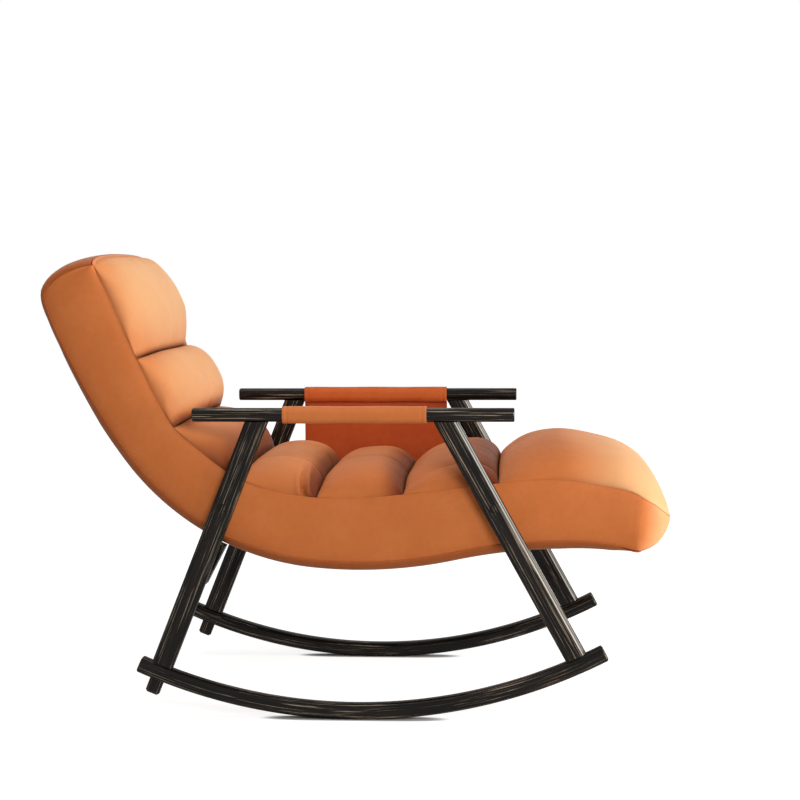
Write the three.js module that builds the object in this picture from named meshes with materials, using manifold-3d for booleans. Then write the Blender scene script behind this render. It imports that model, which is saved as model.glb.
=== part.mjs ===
// Rocking chair: a rolled leather chaise seat bolted between two dark wooden side frames.
// Millimetres, +X towards the sitter's feet, +Y to the sitter's left, +Z up, floor at z = 0.
import * as THREE from 'three';
import Module from 'manifold-3d';
import { mergeVertices } from 'three/addons/utils/BufferGeometryUtils.js';

const wasm = await Module();
wasm.setup();

// General clearances
const seatGap = 0.3;           // left between pieces that seat on each other
const cutOverrun = 30;         // how far a cutting solid runs past what it cuts
const frameSpacing = 600;      // between the middles of the two side frames
const contactForward = 4;      // the rockers' lowest line, ahead of the middle of the chair

// Rockers
const rockerRadius = 1057.5;   // of the underside
const rockerHeight = 31.5;
const rockerWidth = 34;
const rockerRound = 9;
const rockerChamfer = 2;
const contactAngle = 3.2;      // degrees: the one facet that lies flat on the floor
const rockerRearOverhang = 39.5; // along the rocker's top, past the middle of the rear leg's foot
const rockerFrontOverhang = 51;
const rockerRearSteps = 11;
const rockerFrontSteps = 12;
const zoneExtraAngle = 8;      // the solid that cuts the legs off on the rocker's top is this much longer
const zoneDepthShare = 6;      // and this many rockers deep

// Legs: middle lines, measured from the rockers' lowest line
const legWidth = 42;
const legThickness = 28;
const legRound = 8;
const rearLegBackset = 187.7;  // of the middle line at the rail's underside, behind the lowest line
const rearLegLean = 21.7;      // degrees
const frontLegForward = 178;
const frontLegLean = 28.7;     // degrees
const railTenonWidth = 24;
const railTenonThickness = 14;
const railTenonLength = 16;
const rockerTenonLength = 18;

// Arm rails
const railUnderside = 579.5;
const railHeight = 26;
const railWidth = 34;
const railRound = 9;
const railChamfer = 1.5;
const railRearReach = 312;     // behind the rockers' lowest line
const railFrontReach = 309;

// Tilt stop: a bar through the rocker into the rear leg's foot, held by a peg
const stopWidth = 28;
const stopThickness = 16;
const stopRound = 3;
const stopDrop = 29;           // below the rocker
const stopInLeg = 62;
const stopChamfer = 4;
const pegRadius = 3;
const pegAboveRocker = 43;

// Corbel between each rear leg and the seat's underside
const corbelDrop = 106;        // below the seat, along the leg
const corbelReach = 13.5;      // ahead of the leg's front face
const corbelDepth = 30;        // inwards from the leg
const corbelTopShare = 0.33;   // of the boxing's height, below the bolts
const corbelBackShare = 0.33;  // the rear edge ends higher by this share of the drop

// Seat: underside curve as a chain of arcs from the head down to the foot
const headBackset = 618.5;     // start of the curve, behind the rockers' lowest line
const headHeight = 823.8;
const headAngle = 73.4;        // degrees below level at the head
const backRadius = 1050;
const backTurn = 20;
const lapRadius = 525;
const lapTurn = 47.9;
const thighRadius = 900;
const thighTurn = 17.7;
const calfRadius = 1110;
const calfTurn = 18.5;
const seatSideClearance = 9;   // between the seat and the inner face of a leg
const seatHalfWidth = frameSpacing / 2 - legThickness / 2 - seatSideClearance;
const boxingHeight = 142;      // from the underside to the seam under the rolls, at the lap
const sideBulge = 3;
const headEndOffset = 6;        // where the head end begins to turn up, past the curve's start
const headEndReach = 45;       // how far it swells from there
const headEndRise = 98;        // height of that turn
const headTopRound = 12;       // of the top of the head end
const headTopDrop = 40;
const footEndOffset = 4;        // where the foot end begins to turn up, past the curve's end
const footEndReach = 51;
const footEndRise = 85;
const footPlanRound = 65;      // of the foot end's corners, seen from above
const headPlanReach = 40;      // how far the head end bows out, seen from above
const headPlanShare = 0.6;     // how much of its width goes in that bow
const seamRound = 2.5;
const weltRound = 6;           // of the two edges that the piping lies between
const bevelShare = 0.3;        // where the middle of a bevelled edge lies in its round

// Seam height along the curve: share of the curve's length, share of the boxing height
const seamShares = [
  [-0.019, 0.86], [0.041, 0.93], [0.137, 0.935], [0.2, 0.89], [0.257, 0.852], [0.323, 0.9],
  [0.424, 0.91], [0.486, 0.965], [0.59, 1.005], [0.693, 1.03], [0.786, 0.975], [0.897, 0.954],
  [0.945, 0.885], [0.972, 0.845], [0.992, 0.787], [1.0125, 0.69], [1.039, 0.5],
];

// Rolls: ends as shares of the curve's length, crown height, where the crown lies in the roll
const rollCrown = 68;
const creaseFloor = 14;
const freeEndFloor = 3;        // the first and the last roll run out to this at the ends of the seat
const rolls = [
  { name: 'head_roll', startShare: -0.027, endShare: 0.1387, crownShare: 0.825, peakShare: 0.59,
    rearPower: 2.65, frontPower: 1.35 },
  { name: 'upper_back_roll', startShare: 0.1387, endShare: 0.2587, crownShare: 0.955, peakShare: 0.56,
    rearPower: 2.3, frontPower: 2.4 },
  { name: 'lumbar_roll', startShare: 0.2587, endShare: 0.4057, crownShare: 0.89, peakShare: 0.5,
    rearPower: 1.7, frontPower: 2.2 },
  { name: 'rear_seat_roll', startShare: 0.4057, endShare: 0.5534, crownShare: 1, peakShare: 0.63,
    rearPower: 2.25, frontPower: 2.2 },
  { name: 'middle_seat_roll', startShare: 0.5534, endShare: 0.6935, crownShare: 0.94, peakShare: 0.52,
    rearPower: 2.5, frontPower: 2.5 },
  { name: 'front_seat_roll', startShare: 0.6935, endShare: 0.8225, crownShare: 0.91, peakShare: 0.7,
    rearPower: 1.7, frontPower: 2.7 },
  { name: 'calf_roll', startShare: 0.8225, endShare: 1.036, crownShare: 1.045, peakShare: 0.4,
    rearPower: 1.95, frontPower: 2.1 },
];
const rollStations = 8;
const rollRingSteps = 12;
const rollSidePower = 3;

// Cover under the seat and its piping
const coverThickness = 18;
const coverLip = 4;            // left of the cover where it thins out at the ends
const weltRadius = 3;
const weltSides = 6;

// Seat frame inside the foam
const plateThickness = 18;
const plateInset = 31;         // from the seat's side to the side plate
const headFoam = 14;           // between the side plate's edge and the seam, at the head
const footFoam = 28;           // and at the foot
const webbingThickness = 2;
const webbingWidth = 55;
const webbingCount = 6;
const webbingFirstShare = 0.14;
const webbingLastShare = 0.9;
const frameStartShare = -0.014;
const frameEndShare = 0.93;
const crossRailHeight = 45;
const crossRailThickness = 24;
const crossRails = [
  { name: 'head_cross_rail', alongShare: 0.008 },
  { name: 'back_cross_rail', alongShare: 0.25 },
  { name: 'rear_seat_cross_rail', bolt: 'rear', side: 1 },
  { name: 'front_seat_cross_rail', bolt: 'front', side: -1 },
  { name: 'foot_cross_rail', alongShare: 0.915 },
];
const boltRailClearance = 29.5;   // between a nut plate and the cross rail beside it

// Seat bolts, two to each side
const boltHeightShares = { rear: 0.491678, front: 0.65798 };   // of the boxing, from the underside
const halvings = 40;           // steps to find where a leg passes that height
const boltRadius = 4;
const boltHeadRadius = 6.5;
const boltHeadLength = 7;
const boltPlay = 0.3;
const boltTail = 3;            // past the nut plate
const capRadius = 8.3;
const capThickness = 4;
const capProud = 0.8;
const capRimWidth = 1.6;
const spacerWall = 4;
const nutPlateSize = 34;
const nutPlateThickness = 4;
const holeSides = 16;

// Arm sleeves and the pocket that hangs from the left one
const sleeveWall = 3.2;
const rightSleeveRear = 136.5;
const rightSleeveFront = 141;
const leftSleeveRear = 164.5;
const leftSleeveFront = 153.5;
const pocketThickness = 3;
const pocketDrop = 250;
const pocketCorner = 35;
const pocketCornerSteps = 6;
const pocketSideInset = 1;
const pouchDrop = 72;          // of its mouth below the hinge
const pouchDepth = 15;
const pouchWall = 2.5;
const pouchInset = 14;

// Colours and finish
const leather = new THREE.MeshStandardMaterial({ color: 0xc9713c, roughness: 0.5, metalness: 0 });
const shadedLeather = new THREE.MeshStandardMaterial({ color: 0xb9602f, roughness: 0.5, metalness: 0 });
const darkWood = new THREE.MeshStandardMaterial({ color: 0x1d1814, roughness: 0.35, metalness: 0 });
const innerWood = new THREE.MeshStandardMaterial({ color: 0xb08a5a, roughness: 0.7, metalness: 0 });
const steel = new THREE.MeshStandardMaterial({ color: 0x4a4846, roughness: 0.4, metalness: 1 });
const webbing = new THREE.MeshStandardMaterial({ color: 0x2a2622, roughness: 0.9, metalness: 0 });

const chair = new THREE.Group();
const radians = THREE.MathUtils.degToRad;

// Mesh tools

// Turns closed rings of equal length into one closed surface with flat ends
function loft(rings) {
  const ringSize = rings[0].length;
  const middle = (ring) => ring.reduce((sum, p) => sum.add(p), new THREE.Vector3()).divideScalar(ringSize);
  const points = rings.flat().concat(middle(rings[0]), middle(rings.at(-1)));
  const startMiddle = points.length - 2;
  const faces = [];
  for (let ring = 0; ring < rings.length - 1; ring++) {
    for (let step = 0; step < ringSize; step++) {
      const here = ring * ringSize + step;
      const beside = ring * ringSize + ((step + 1) % ringSize);
      faces.push(here, beside, here + ringSize, beside, beside + ringSize, here + ringSize);
    }
  }
  const lastRing = (rings.length - 1) * ringSize;
  for (let step = 0; step < ringSize; step++) {
    const next = (step + 1) % ringSize;
    faces.push(startMiddle, next, step);
    faces.push(startMiddle + 1, lastRing + step, lastRing + next);
  }
  return closedGeometry(points, faces);
}

function closedGeometry(points, faces) {
  const corner = (index) => points[faces[index]];
  let volume = 0;
  for (let face = 0; face < faces.length; face += 3) {
    volume += corner(face).dot(new THREE.Vector3().crossVectors(corner(face + 1), corner(face + 2)));
  }
  const facing = volume < 0 ? faces.slice().reverse() : faces;
  const geometry = new THREE.BufferGeometry().setFromPoints(points);
  geometry.setIndex(facing);
  geometry.computeVertexNormals();
  return geometry;
}

function toSolid(geometry) {
  const bare = geometry.clone();
  bare.deleteAttribute('normal');
  bare.deleteAttribute('uv');
  const merged = mergeVertices(bare);
  return new wasm.Manifold(new wasm.Mesh({
    numProp: 3,
    vertProperties: new Float32Array(merged.attributes.position.array),
    triVerts: new Uint32Array(merged.index.array),
  }));
}

function toGeometry(solid) {
  const { vertProperties, triVerts } = solid.getMesh();
  const geometry = new THREE.BufferGeometry();
  geometry.setAttribute('position', new THREE.BufferAttribute(new Float32Array(vertProperties), 3));
  geometry.setIndex(Array.from(triVerts));
  geometry.computeVertexNormals();
  return geometry;
}

const cut = (geometry, tools) => toGeometry(
  tools.reduce((solid, tool) => solid.subtract(toSolid(tool)), toSolid(geometry)));
const join = (first, second) => toGeometry(toSolid(first).add(toSolid(second)));

function addPiece(name, geometry, material, parent = chair) {
  const mesh = new THREE.Mesh(geometry, material);
  mesh.name = name;
  parent.add(mesh);
  return mesh;
}

// Corner points of a rounded rectangle about its middle
function roundedRectangle(width, height, radius, cornerSteps = 2) {
  const points = [];
  for (let quarter = 0; quarter < 4; quarter++) {
    const acrossSign = quarter === 0 || quarter === 3 ? 1 : -1;
    const upSign = quarter < 2 ? 1 : -1;
    for (let step = 0; step <= cornerSteps; step++) {
      const angle = (quarter + step / cornerSteps) * Math.PI / 2;
      points.push([
        acrossSign * (width / 2 - radius) + radius * Math.cos(angle),
        upSign * (height / 2 - radius) + radius * Math.sin(angle),
      ]);
    }
  }
  return points;
}

// Straight bar between two points of the XZ plane, with its ends chamfered on request
function bar(start, end, width, thickness, round, chamfer = 0) {
  const along = new THREE.Vector3().subVectors(end, start).normalize();
  const side = new THREE.Vector3(along.z, 0, -along.x);
  const ring = (centre, inset) => roundedRectangle(width - 2 * inset, thickness - 2 * inset,
    Math.max(round - inset, seatGap)).map(([across, depth]) => centre.clone()
    .addScaledVector(side, across).add(new THREE.Vector3(0, depth, 0)));
  if (chamfer === 0) return loft([ring(start, 0), ring(end, 0)]);
  return loft([
    ring(start, chamfer),
    ring(start.clone().addScaledVector(along, chamfer), 0),
    ring(end.clone().addScaledVector(along, -chamfer), 0),
    ring(end, chamfer),
  ]);
}

// Round solid along Y from one depth to another
function pin(centre, radius, fromDepth, toDepth) {
  const geometry = new THREE.CylinderGeometry(radius, radius, Math.abs(toDepth - fromDepth), holeSides);
  geometry.translate(centre.x, (fromDepth + toDepth) / 2, centre.z);
  return geometry;
}

// Turned piece along Y from a list of radius and depth pairs that starts and ends on the axis
function turned(centre, profile) {
  const outline = profile.map(([r, depth]) => new THREE.Vector2(r, depth));
  const geometry = new THREE.LatheGeometry(outline, holeSides);
  geometry.translate(centre.x, 0, centre.z);
  return outward(geometry);
}

function outward(geometry) {
  const bare = geometry.clone();
  bare.deleteAttribute('normal');
  bare.deleteAttribute('uv');
  const merged = mergeVertices(bare);
  const position = merged.attributes.position;
  const points = Array.from({ length: position.count },
    (_, i) => new THREE.Vector3().fromBufferAttribute(position, i));
  const faces = Array.from(merged.index.array);
  const kept = [];
  for (let face = 0; face < faces.length; face += 3) {
    const [a, b, c] = faces.slice(face, face + 3);
    if (a !== b && b !== c && a !== c) kept.push(a, b, c);
  }
  return closedGeometry(points, kept);
}

// Side frames, drawn in the plane of one side

function rockerPoint(radius, angle) {
  return new THREE.Vector3(radius * Math.sin(angle), 0, rockerRadius - radius * Math.cos(angle));
}

// Bar bent along the rocker's arc between two radii, longer at both ends on request
function arcBar(innerRadius, outerRadius, width, round, chamfer = 0, extraAngle = 0) {
  const middleRadius = (innerRadius + outerRadius) / 2;
  const ring = (angle, inset) => {
    const centre = rockerPoint(middleRadius, angle);
    const inwards = new THREE.Vector3(-Math.sin(angle), 0, Math.cos(angle));
    const height = outerRadius - innerRadius;
    return roundedRectangle(width - 2 * inset, height - 2 * inset, Math.max(round - inset, seatGap))
      .map(([depth, up]) => centre.clone().addScaledVector(inwards, up).add(new THREE.Vector3(0, depth, 0)));
  };
  const contactHalf = radians(contactAngle) / 2;
  const spread = (steps, reach) => Array.from({ length: steps + 1 }, (_, i) => contactHalf
    + (reach - contactHalf) * i / steps);
  const angles = [
    ...spread(rockerRearSteps, footAngle(rearFoot, rockerRearOverhang)).map((angle) => -angle).reverse(),
    ...spread(rockerFrontSteps, footAngle(frontFoot, rockerFrontOverhang)),
  ];
  if (extraAngle > 0) {
    angles.unshift(angles[0] - radians(extraAngle));
    angles.push(angles.at(-1) + radians(extraAngle));
  }
  if (chamfer === 0) return loft(angles.map((angle) => ring(angle, 0)));
  const chamferAngle = chamfer / middleRadius;
  return loft([
    ring(angles[0] - chamferAngle, chamfer),
    ...angles.map((angle) => ring(angle, 0)),
    ring(angles.at(-1) + chamferAngle, chamfer),
  ]);
}

// A leg's middle line: place at a height, and the direction up along it
function legLine(topX, lean) {
  const up = new THREE.Vector3(Math.sin(radians(lean)), 0, Math.cos(radians(lean)));
  const at = (height) => new THREE.Vector3(topX, 0, railUnderside)
    .addScaledVector(up, (height - railUnderside) / up.z);
  return { up, at };
}

const rearLine = legLine(-rearLegBackset, rearLegLean);
const frontLine = legLine(frontLegForward, -frontLegLean);

// Where a leg's middle line meets the rocker's top or underside
function onRocker(line, radius) {
  const centre = new THREE.Vector3(0, 0, rockerRadius);
  const from = line.at(railUnderside).sub(centre);
  const down = line.up.clone().negate();
  const half = from.dot(down);
  const reach = -half + Math.sqrt(half * half - from.lengthSq() + radius * radius);
  return line.at(railUnderside).addScaledVector(down, reach);
}

const rockerTopRadius = rockerRadius - rockerHeight;
const rearFoot = onRocker(rearLine, rockerTopRadius);
const frontFoot = onRocker(frontLine, rockerTopRadius);
const footAngle = (foot, overhang) => Math.asin(Math.abs(foot.x) / rockerTopRadius)
  + overhang / rockerTopRadius;
const stopEnd = onRocker(rearLine, rockerRadius).addScaledVector(rearLine.up, -stopDrop);
const stopTop = rearFoot.clone().addScaledVector(rearLine.up, stopInLeg);
const pegCentre = rearFoot.clone().addScaledVector(rearLine.up, pegAboveRocker);

const railZone = () => new THREE.BoxGeometry(railRearReach * 2, railWidth * 2, railHeight * 2 + cutOverrun)
  .translate(0, 0, railUnderside - seatGap + railHeight + cutOverrun / 2);
const rockerZone = () => arcBar(rockerTopRadius - seatGap, rockerRadius + rockerHeight * zoneDepthShare,
  rockerWidth * 2, seatGap, 0, zoneExtraAngle);

const railTenon = (line, grow) => bar(line.at(railUnderside - railTenonLength),
  line.at(railUnderside).addScaledVector(line.up, railTenonLength + grow),
  railTenonWidth + 2 * grow, railTenonThickness + 2 * grow, stopRound);
const frontRockerTenon = (grow) => bar(frontFoot.clone().addScaledVector(frontLine.up, rockerTenonLength),
  frontFoot.clone().addScaledVector(frontLine.up, -rockerTenonLength - grow),
  railTenonWidth + 2 * grow, railTenonThickness + 2 * grow, stopRound);
const stopBar = (grow, chamfer) => bar(stopEnd.clone().addScaledVector(rearLine.up, -grow),
  stopTop.clone().addScaledVector(rearLine.up, grow),
  stopWidth + 2 * grow, stopThickness + 2 * grow, stopRound, chamfer);

const legInnerFace = legThickness / 2;
const capPocketDepth = capThickness - capProud + seatGap + boltHeadLength;

// Stepped hole through a leg for the bolt, its head and its cap; outwards is -Y before the side is set
function boltHole(centre, side) {
  return [
    pin(centre, boltRadius + boltPlay, -side * cutOverrun, side * cutOverrun),
    pin(centre, capRadius + seatGap,
      side * (legInnerFace - capPocketDepth), side * (legInnerFace + cutOverrun)),
  ];
}

function sideFrame(sideName, side) {
  const frame = new THREE.Group();
  frame.position.y = side * frameSpacing / 2;
  chair.add(frame);

  addPiece(`rocker_${sideName}`, cut(
    arcBar(rockerTopRadius, rockerRadius, rockerWidth, rockerRound, rockerChamfer),
    [stopBar(seatGap, 0), frontRockerTenon(seatGap)]), darkWood, frame);

  const legSection = (line) => bar(line.at(-cutOverrun), line.at(railUnderside + cutOverrun),
    legWidth, legThickness, legRound);
  const rearBody = cut(legSection(rearLine), [railZone(), rockerZone()]);
  addPiece(`rear_leg_${sideName}`, cut(join(rearBody, railTenon(rearLine, 0)), [
    stopBar(seatGap, 0),
    pin(pegCentre, pegRadius + seatGap, -legThickness, legThickness),
    ...boltHole(boltCentres.rear, side),
  ]), darkWood, frame);

  const frontBody = join(cut(legSection(frontLine), [railZone(), rockerZone()]), railTenon(frontLine, 0));
  addPiece(`front_leg_${sideName}`, cut(join(frontBody, frontRockerTenon(0)),
    boltHole(boltCentres.front, side)), darkWood, frame);

  const railMiddle = railUnderside + railHeight / 2;
  addPiece(`arm_rail_${sideName}`, cut(
    bar(new THREE.Vector3(-railRearReach, 0, railMiddle), new THREE.Vector3(railFrontReach, 0, railMiddle),
      railHeight, railWidth, railRound, railChamfer),
    [railTenon(rearLine, seatGap), railTenon(frontLine, seatGap)]), darkWood, frame);

  addPiece(`tilt_stop_${sideName}`, cut(stopBar(0, stopChamfer),
    [pin(pegCentre, pegRadius + seatGap, -legThickness, legThickness)]), darkWood, frame);
  addPiece(`tilt_stop_peg_${sideName}`, pin(pegCentre, pegRadius, -legInnerFace, legInnerFace), steel, frame);
}

// Seat curve and the space measured along it, across it and up from it

const seatArcs = [
  { radius: backRadius, turn: backTurn },
  { radius: lapRadius, turn: lapTurn },
  { radius: thighRadius, turn: thighTurn },
  { radius: -calfRadius, turn: -calfTurn },
].map(({ radius, turn }) => ({ radius, turn: radians(turn), length: radius * radians(turn) }));
const seatLength = seatArcs.reduce((sum, arc) => sum + arc.length, 0);

// Place and heading on the seat's underside at a distance from the head; straight past both ends
function seatCurve(distance) {
  let place = new THREE.Vector3(-headBackset, 0, headHeight);
  let heading = -radians(headAngle);
  let left = distance;
  for (const arc of seatArcs) {
    const part = Math.min(Math.max(left, 0), arc.length) / arc.radius;
    const inwards = new THREE.Vector3(-Math.sin(heading), 0, Math.cos(heading));
    const centre = place.clone().addScaledVector(inwards, arc.radius);
    heading += part;
    const outwards = new THREE.Vector3(Math.sin(heading), 0, -Math.cos(heading));
    place = centre.addScaledVector(outwards, arc.radius);
    if (left <= arc.length) break;
    left -= arc.length;
  }
  const past = distance < 0 ? distance : Math.max(distance - seatLength, 0);
  place.add(new THREE.Vector3(Math.cos(heading), 0, Math.sin(heading)).multiplyScalar(past));
  return { place, heading };
}

function seatPoint(distance, across, up) {
  const { place, heading } = seatCurve(distance);
  return new THREE.Vector3(place.x - up * Math.sin(heading), across, place.z + up * Math.cos(heading));
}

// Distance along the seat where a leg's middle line passes the boxing at a share of its height
function boltDistance(line, heightShare) {
  const ahead = new THREE.Vector3(line.up.z, 0, -line.up.x);
  let [near, far] = [0, seatLength];
  for (let step = 0; step < halvings; step++) {
    const middle = (near + far) / 2;
    const spot = seatPoint(middle, 0, boxingHeight * heightShare);
    if (spot.sub(line.at(railUnderside)).dot(ahead) < 0) near = middle;
    else far = middle;
  }
  return near;
}

const boltDistances = {
  rear: boltDistance(rearLine, boltHeightShares.rear),
  front: boltDistance(frontLine, boltHeightShares.front),
};
const boltCentres = {
  rear: seatPoint(boltDistances.rear, 0, boxingHeight * boltHeightShares.rear),
  front: seatPoint(boltDistances.front, 0, boxingHeight * boltHeightShares.front),
};

// Smooth value from a table of pairs
function fromTable(table, at) {
  const last = table.length - 1;
  let low = 0;
  while (low < last - 1 && at > table[low + 1][0]) low++;
  const slope = (i) => {
    const before = table[Math.max(i - 1, 0)];
    const after = table[Math.min(i + 1, last)];
    return (after[1] - before[1]) / (after[0] - before[0]);
  };
  const [x0, y0] = table[low];
  const [x1, y1] = table[low + 1];
  const span = x1 - x0;
  const t = Math.min(Math.max((at - x0) / span, 0), 1);
  const t2 = t * t;
  const t3 = t2 * t;
  return y0 * (2 * t3 - 3 * t2 + 1) + slope(low) * span * (t3 - 2 * t2 + t)
    + y1 * (3 * t2 - 2 * t3) + slope(low + 1) * span * (t3 - t2);
}

const roundedInset = (radius, into) => radius - Math.sqrt(Math.max(radius * radius - into * into, 0));
const seamHeight = (distance) => boxingHeight * fromTable(seamShares, distance / seatLength);
const footTip = seatLength + footEndOffset + footEndReach;
const headTip = -headEndOffset - headEndReach;

// Lowest skin of the seat: on the curve, and rounded up at both ends
function lowSkin(distance) {
  const intoFoot = Math.max(distance - seatLength - footEndOffset, 0);
  const intoHead = Math.max(-headEndOffset - distance, 0);
  return roundedInset(footEndReach, intoFoot) * footEndRise / footEndReach
    + roundedInset(headEndReach, intoHead) * headEndRise / headEndReach;
}

// Share of an end's reach at which its rounded skin has risen by a height
const endReachShare = (rise, height) => Math.sqrt(1 - (1 - height / rise) ** 2);

// Half the seat's width, drawn in round the corners at both ends
function halfWidth(distance) {
  const intoFoot = Math.max(distance - footTip + footPlanRound, 0);
  const intoHead = Math.max(headTip + headPlanReach - distance, 0);
  return seatHalfWidth - roundedInset(footPlanRound, intoFoot)
    - roundedInset(headPlanReach, intoHead) * seatHalfWidth * headPlanShare / headPlanReach;
}

// Distances along the seat that every lofted piece shares, so that faces that seat stay parallel
const endShares = [0.35, 0.62, 0.82, 0.95, 1];
const headStations = endShares.map((share) => -headEndOffset - headEndReach * share).reverse();
const footStations = endShares.map((share) => seatLength + footEndOffset + footEndReach * share);
const rollStationList = (roll) => Array.from({ length: rollStations + 1 }, (_, i) => seatLength
  * (roll.startShare + (roll.endShare - roll.startShare) * (1 - Math.cos(Math.PI * i / rollStations)) / 2));
const frameStart = frameStartShare * seatLength;
const frameEnd = frameEndShare * seatLength;
const strapSpans = Array.from({ length: webbingCount }, (_, i) => {
  const share = webbingFirstShare + (webbingLastShare - webbingFirstShare) * i / (webbingCount - 1);
  return [share * seatLength - webbingWidth / 2, share * seatLength + webbingWidth / 2];
});
const stations = [
  ...headStations, ...rolls.flatMap(rollStationList), frameStart, frameEnd, ...strapSpans.flat(),
  ...footStations,
].sort((a, b) => a - b).filter((distance, i, all) => i === 0 || distance - all[i - 1] > seatGap);
const stationsBetween = (from, to) => [
  from, ...stations.filter((s) => s > from + seatGap && s < to - seatGap), to];

// Loft through the shared distances of a section given as pairs: across and up
function seatLoft(distances, section) {
  return loft(distances.map((distance) => section(distance)
    .map(([across, up]) => seatPoint(distance, across, up))));
}

const boxSection = (half, low, high) => [[half, low], [half, high], [-half, high], [-half, low]];
const mirrored = (points) => [...points, ...points.map(([across, up]) => [-across, up]).reverse()];

// Foam body with its side boxing
function bodySection(distance) {
  const half = halfWidth(distance);
  const low = Math.max(coverThickness, lowSkin(distance));
  const intoTop = Math.max(headTip + headTopRound - distance, 0);
  const high = Math.max(seamHeight(distance)
    - roundedInset(headTopRound, intoTop) * headTopDrop / headTopRound, low + 2 * weltRound);
  const middle = (low + high) / 2;
  return mirrored([
    [half - weltRound, low], [half - weltRound * bevelShare, low + weltRound * bevelShare],
    [half, low + weltRound],
    [half + sideBulge, middle], [half, high - seamRound], [half - seamRound, high],
  ]);
}

const plateTop = (distance) => seamHeight(distance)
  - (headFoam + (footFoam - headFoam) * distance / seatLength);
const hollowTop = (distance) => plateTop(distance) + webbingThickness + 2 * seatGap;
const plateOuter = seatHalfWidth - plateInset;
const plateInner = plateOuter - plateThickness;

const seatSide = frameSpacing / 2 - legThickness / 2;
const sidePins = (radius, from, to) => [-1, 1].flatMap((side) => Object.values(boltCentres)
  .map((centre) => pin(centre, radius, side * from, side * to)));

function seatBody() {
  const hollow = seatLoft(stationsBetween(frameStart - seatGap, frameEnd + seatGap),
    (s) => boxSection(plateOuter + seatGap, coverThickness - cutOverrun / 2, hollowTop(s)));
  addPiece('seat_body', cut(seatLoft(stations.filter((s) => s >= headTip && s <= footTip), bodySection),
    [hollow, ...sidePins(boltRadius + boltPlay + spacerWall + seatGap, plateOuter - seatGap, seatSide)]),
  leather);
}

// Back and underside cover, thinned out to a lip where it turns up at the ends
function seatCover() {
  const lipHeight = coverThickness - coverLip;
  const distances = stationsBetween(
    -headEndOffset - headEndReach * endReachShare(headEndRise, lipHeight),
    seatLength + footEndOffset + footEndReach * endReachShare(footEndRise, lipHeight));
  addPiece('back_and_underside_cover', seatLoft(distances, (distance) => {
    const half = halfWidth(distance);
    const low = lowSkin(distance);
    const high = coverThickness - seatGap;
    const lower = Math.min(weltRound * 2, (high - low) / 2);
    const upper = Math.min(weltRound, (high - low) / 2 - seatGap);
    return mirrored([
      [half - lower, low], [half - lower * bevelShare, low + lower * bevelShare], [half, low + lower],
      [half, high - upper], [half - upper * bevelShare, high - upper * bevelShare], [half - upper, high],
    ]);
  }), shadedLeather);
}

// Piping that lies between the cover and the boxing
function welt(sideName, side) {
  const nest = Math.sqrt((weltRound + weltRadius + seatGap) ** 2 - weltRound ** 2) - weltRound;
  const distances = stationsBetween(-headEndOffset, seatLength);
  const ring = (distance) => Array.from({ length: weltSides }, (_, i) => {
    const angle = 2 * Math.PI * i / weltSides;
    return [side * (halfWidth(distance) + nest + weltRadius * Math.cos(angle)),
      coverThickness - seatGap / 2 + weltRadius * Math.sin(angle)];
  });
  addPiece(`welt_${sideName}`, seatLoft(distances, ring), shadedLeather);
}

// One roll: flat on the foam, a superellipse across, a lopsided one along, low at its creases
function addRoll(roll) {
  const start = roll.startShare * seatLength + seatGap;
  const end = roll.endShare * seatLength - seatGap;
  const crown = rollCrown * roll.crownShare;
  addPiece(roll.name, seatLoft(stationsBetween(start, end), (distance) => {
    const along = (distance - start) / (end - start);
    const beforePeak = along < roll.peakShare;
    const fromPeak = beforePeak ? 1 - along / roll.peakShare
      : (along - roll.peakShare) / (1 - roll.peakShare);
    const power = beforePeak ? roll.rearPower : roll.frontPower;
    const swell = (1 - Math.min(fromPeak, 1) ** power) ** (1 / power);
    const atFreeEnd = beforePeak ? roll === rolls[0] : roll === rolls.at(-1);
    const floor = atFreeEnd ? freeEndFloor : creaseFloor;
    const height = floor + (crown - floor) * swell;
    const base = seamHeight(distance) + seatGap;
    const half = halfWidth(distance);
    return Array.from({ length: rollRingSteps + 1 }, (_, i) => {
      const angle = Math.PI * i / rollRingSteps;
      const across = Math.sign(Math.cos(angle)) * Math.abs(Math.cos(angle)) ** (2 / rollSidePower);
      const up = Math.sin(angle) ** (2 / rollSidePower);
      return [half * across, base + height * up];
    });
  }), leather);
}

// Frame inside the seat

function sidePlate(sideName, side) {
  const plate = seatLoft(stationsBetween(frameStart, frameEnd), (distance) => boxSection(
    plateThickness / 2, coverThickness, plateTop(distance))
    .map(([across, up]) => [side * (plateOuter - plateThickness / 2) + across, up]));
  addPiece(`seat_side_plate_${sideName}`, cut(plate, Object.values(boltCentres)
    .map((centre) => pin(centre, boltRadius + boltPlay, 0, side * frameSpacing / 2))), innerWood);
}

function addCrossRail({ name, alongShare, bolt, side }) {
  const besideBolt = nutPlateSize / 2 + boltRailClearance + crossRailThickness / 2;
  const distance = bolt ? boltDistances[bolt] + side * besideBolt : alongShare * seatLength;
  const { heading } = seatCurve(distance);
  const length = 2 * (plateInner - seatGap);
  const shape = new THREE.BoxGeometry(crossRailThickness, length, crossRailHeight);
  const rail = addPiece(name, shape, innerWood);
  rail.position.copy(seatPoint(distance, 0, coverThickness + seatGap + crossRailHeight / 2));
  rail.rotation.y = -heading;
}

function addStrap([from, to], index) {
  addPiece(`webbing_strap_${index + 1}`, seatLoft(stationsBetween(from, to), (distance) => boxSection(
    plateOuter, plateTop(distance) + seatGap, plateTop(distance) + seatGap + webbingThickness)), webbing);
}

// Bolts through the legs into the seat frame

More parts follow.
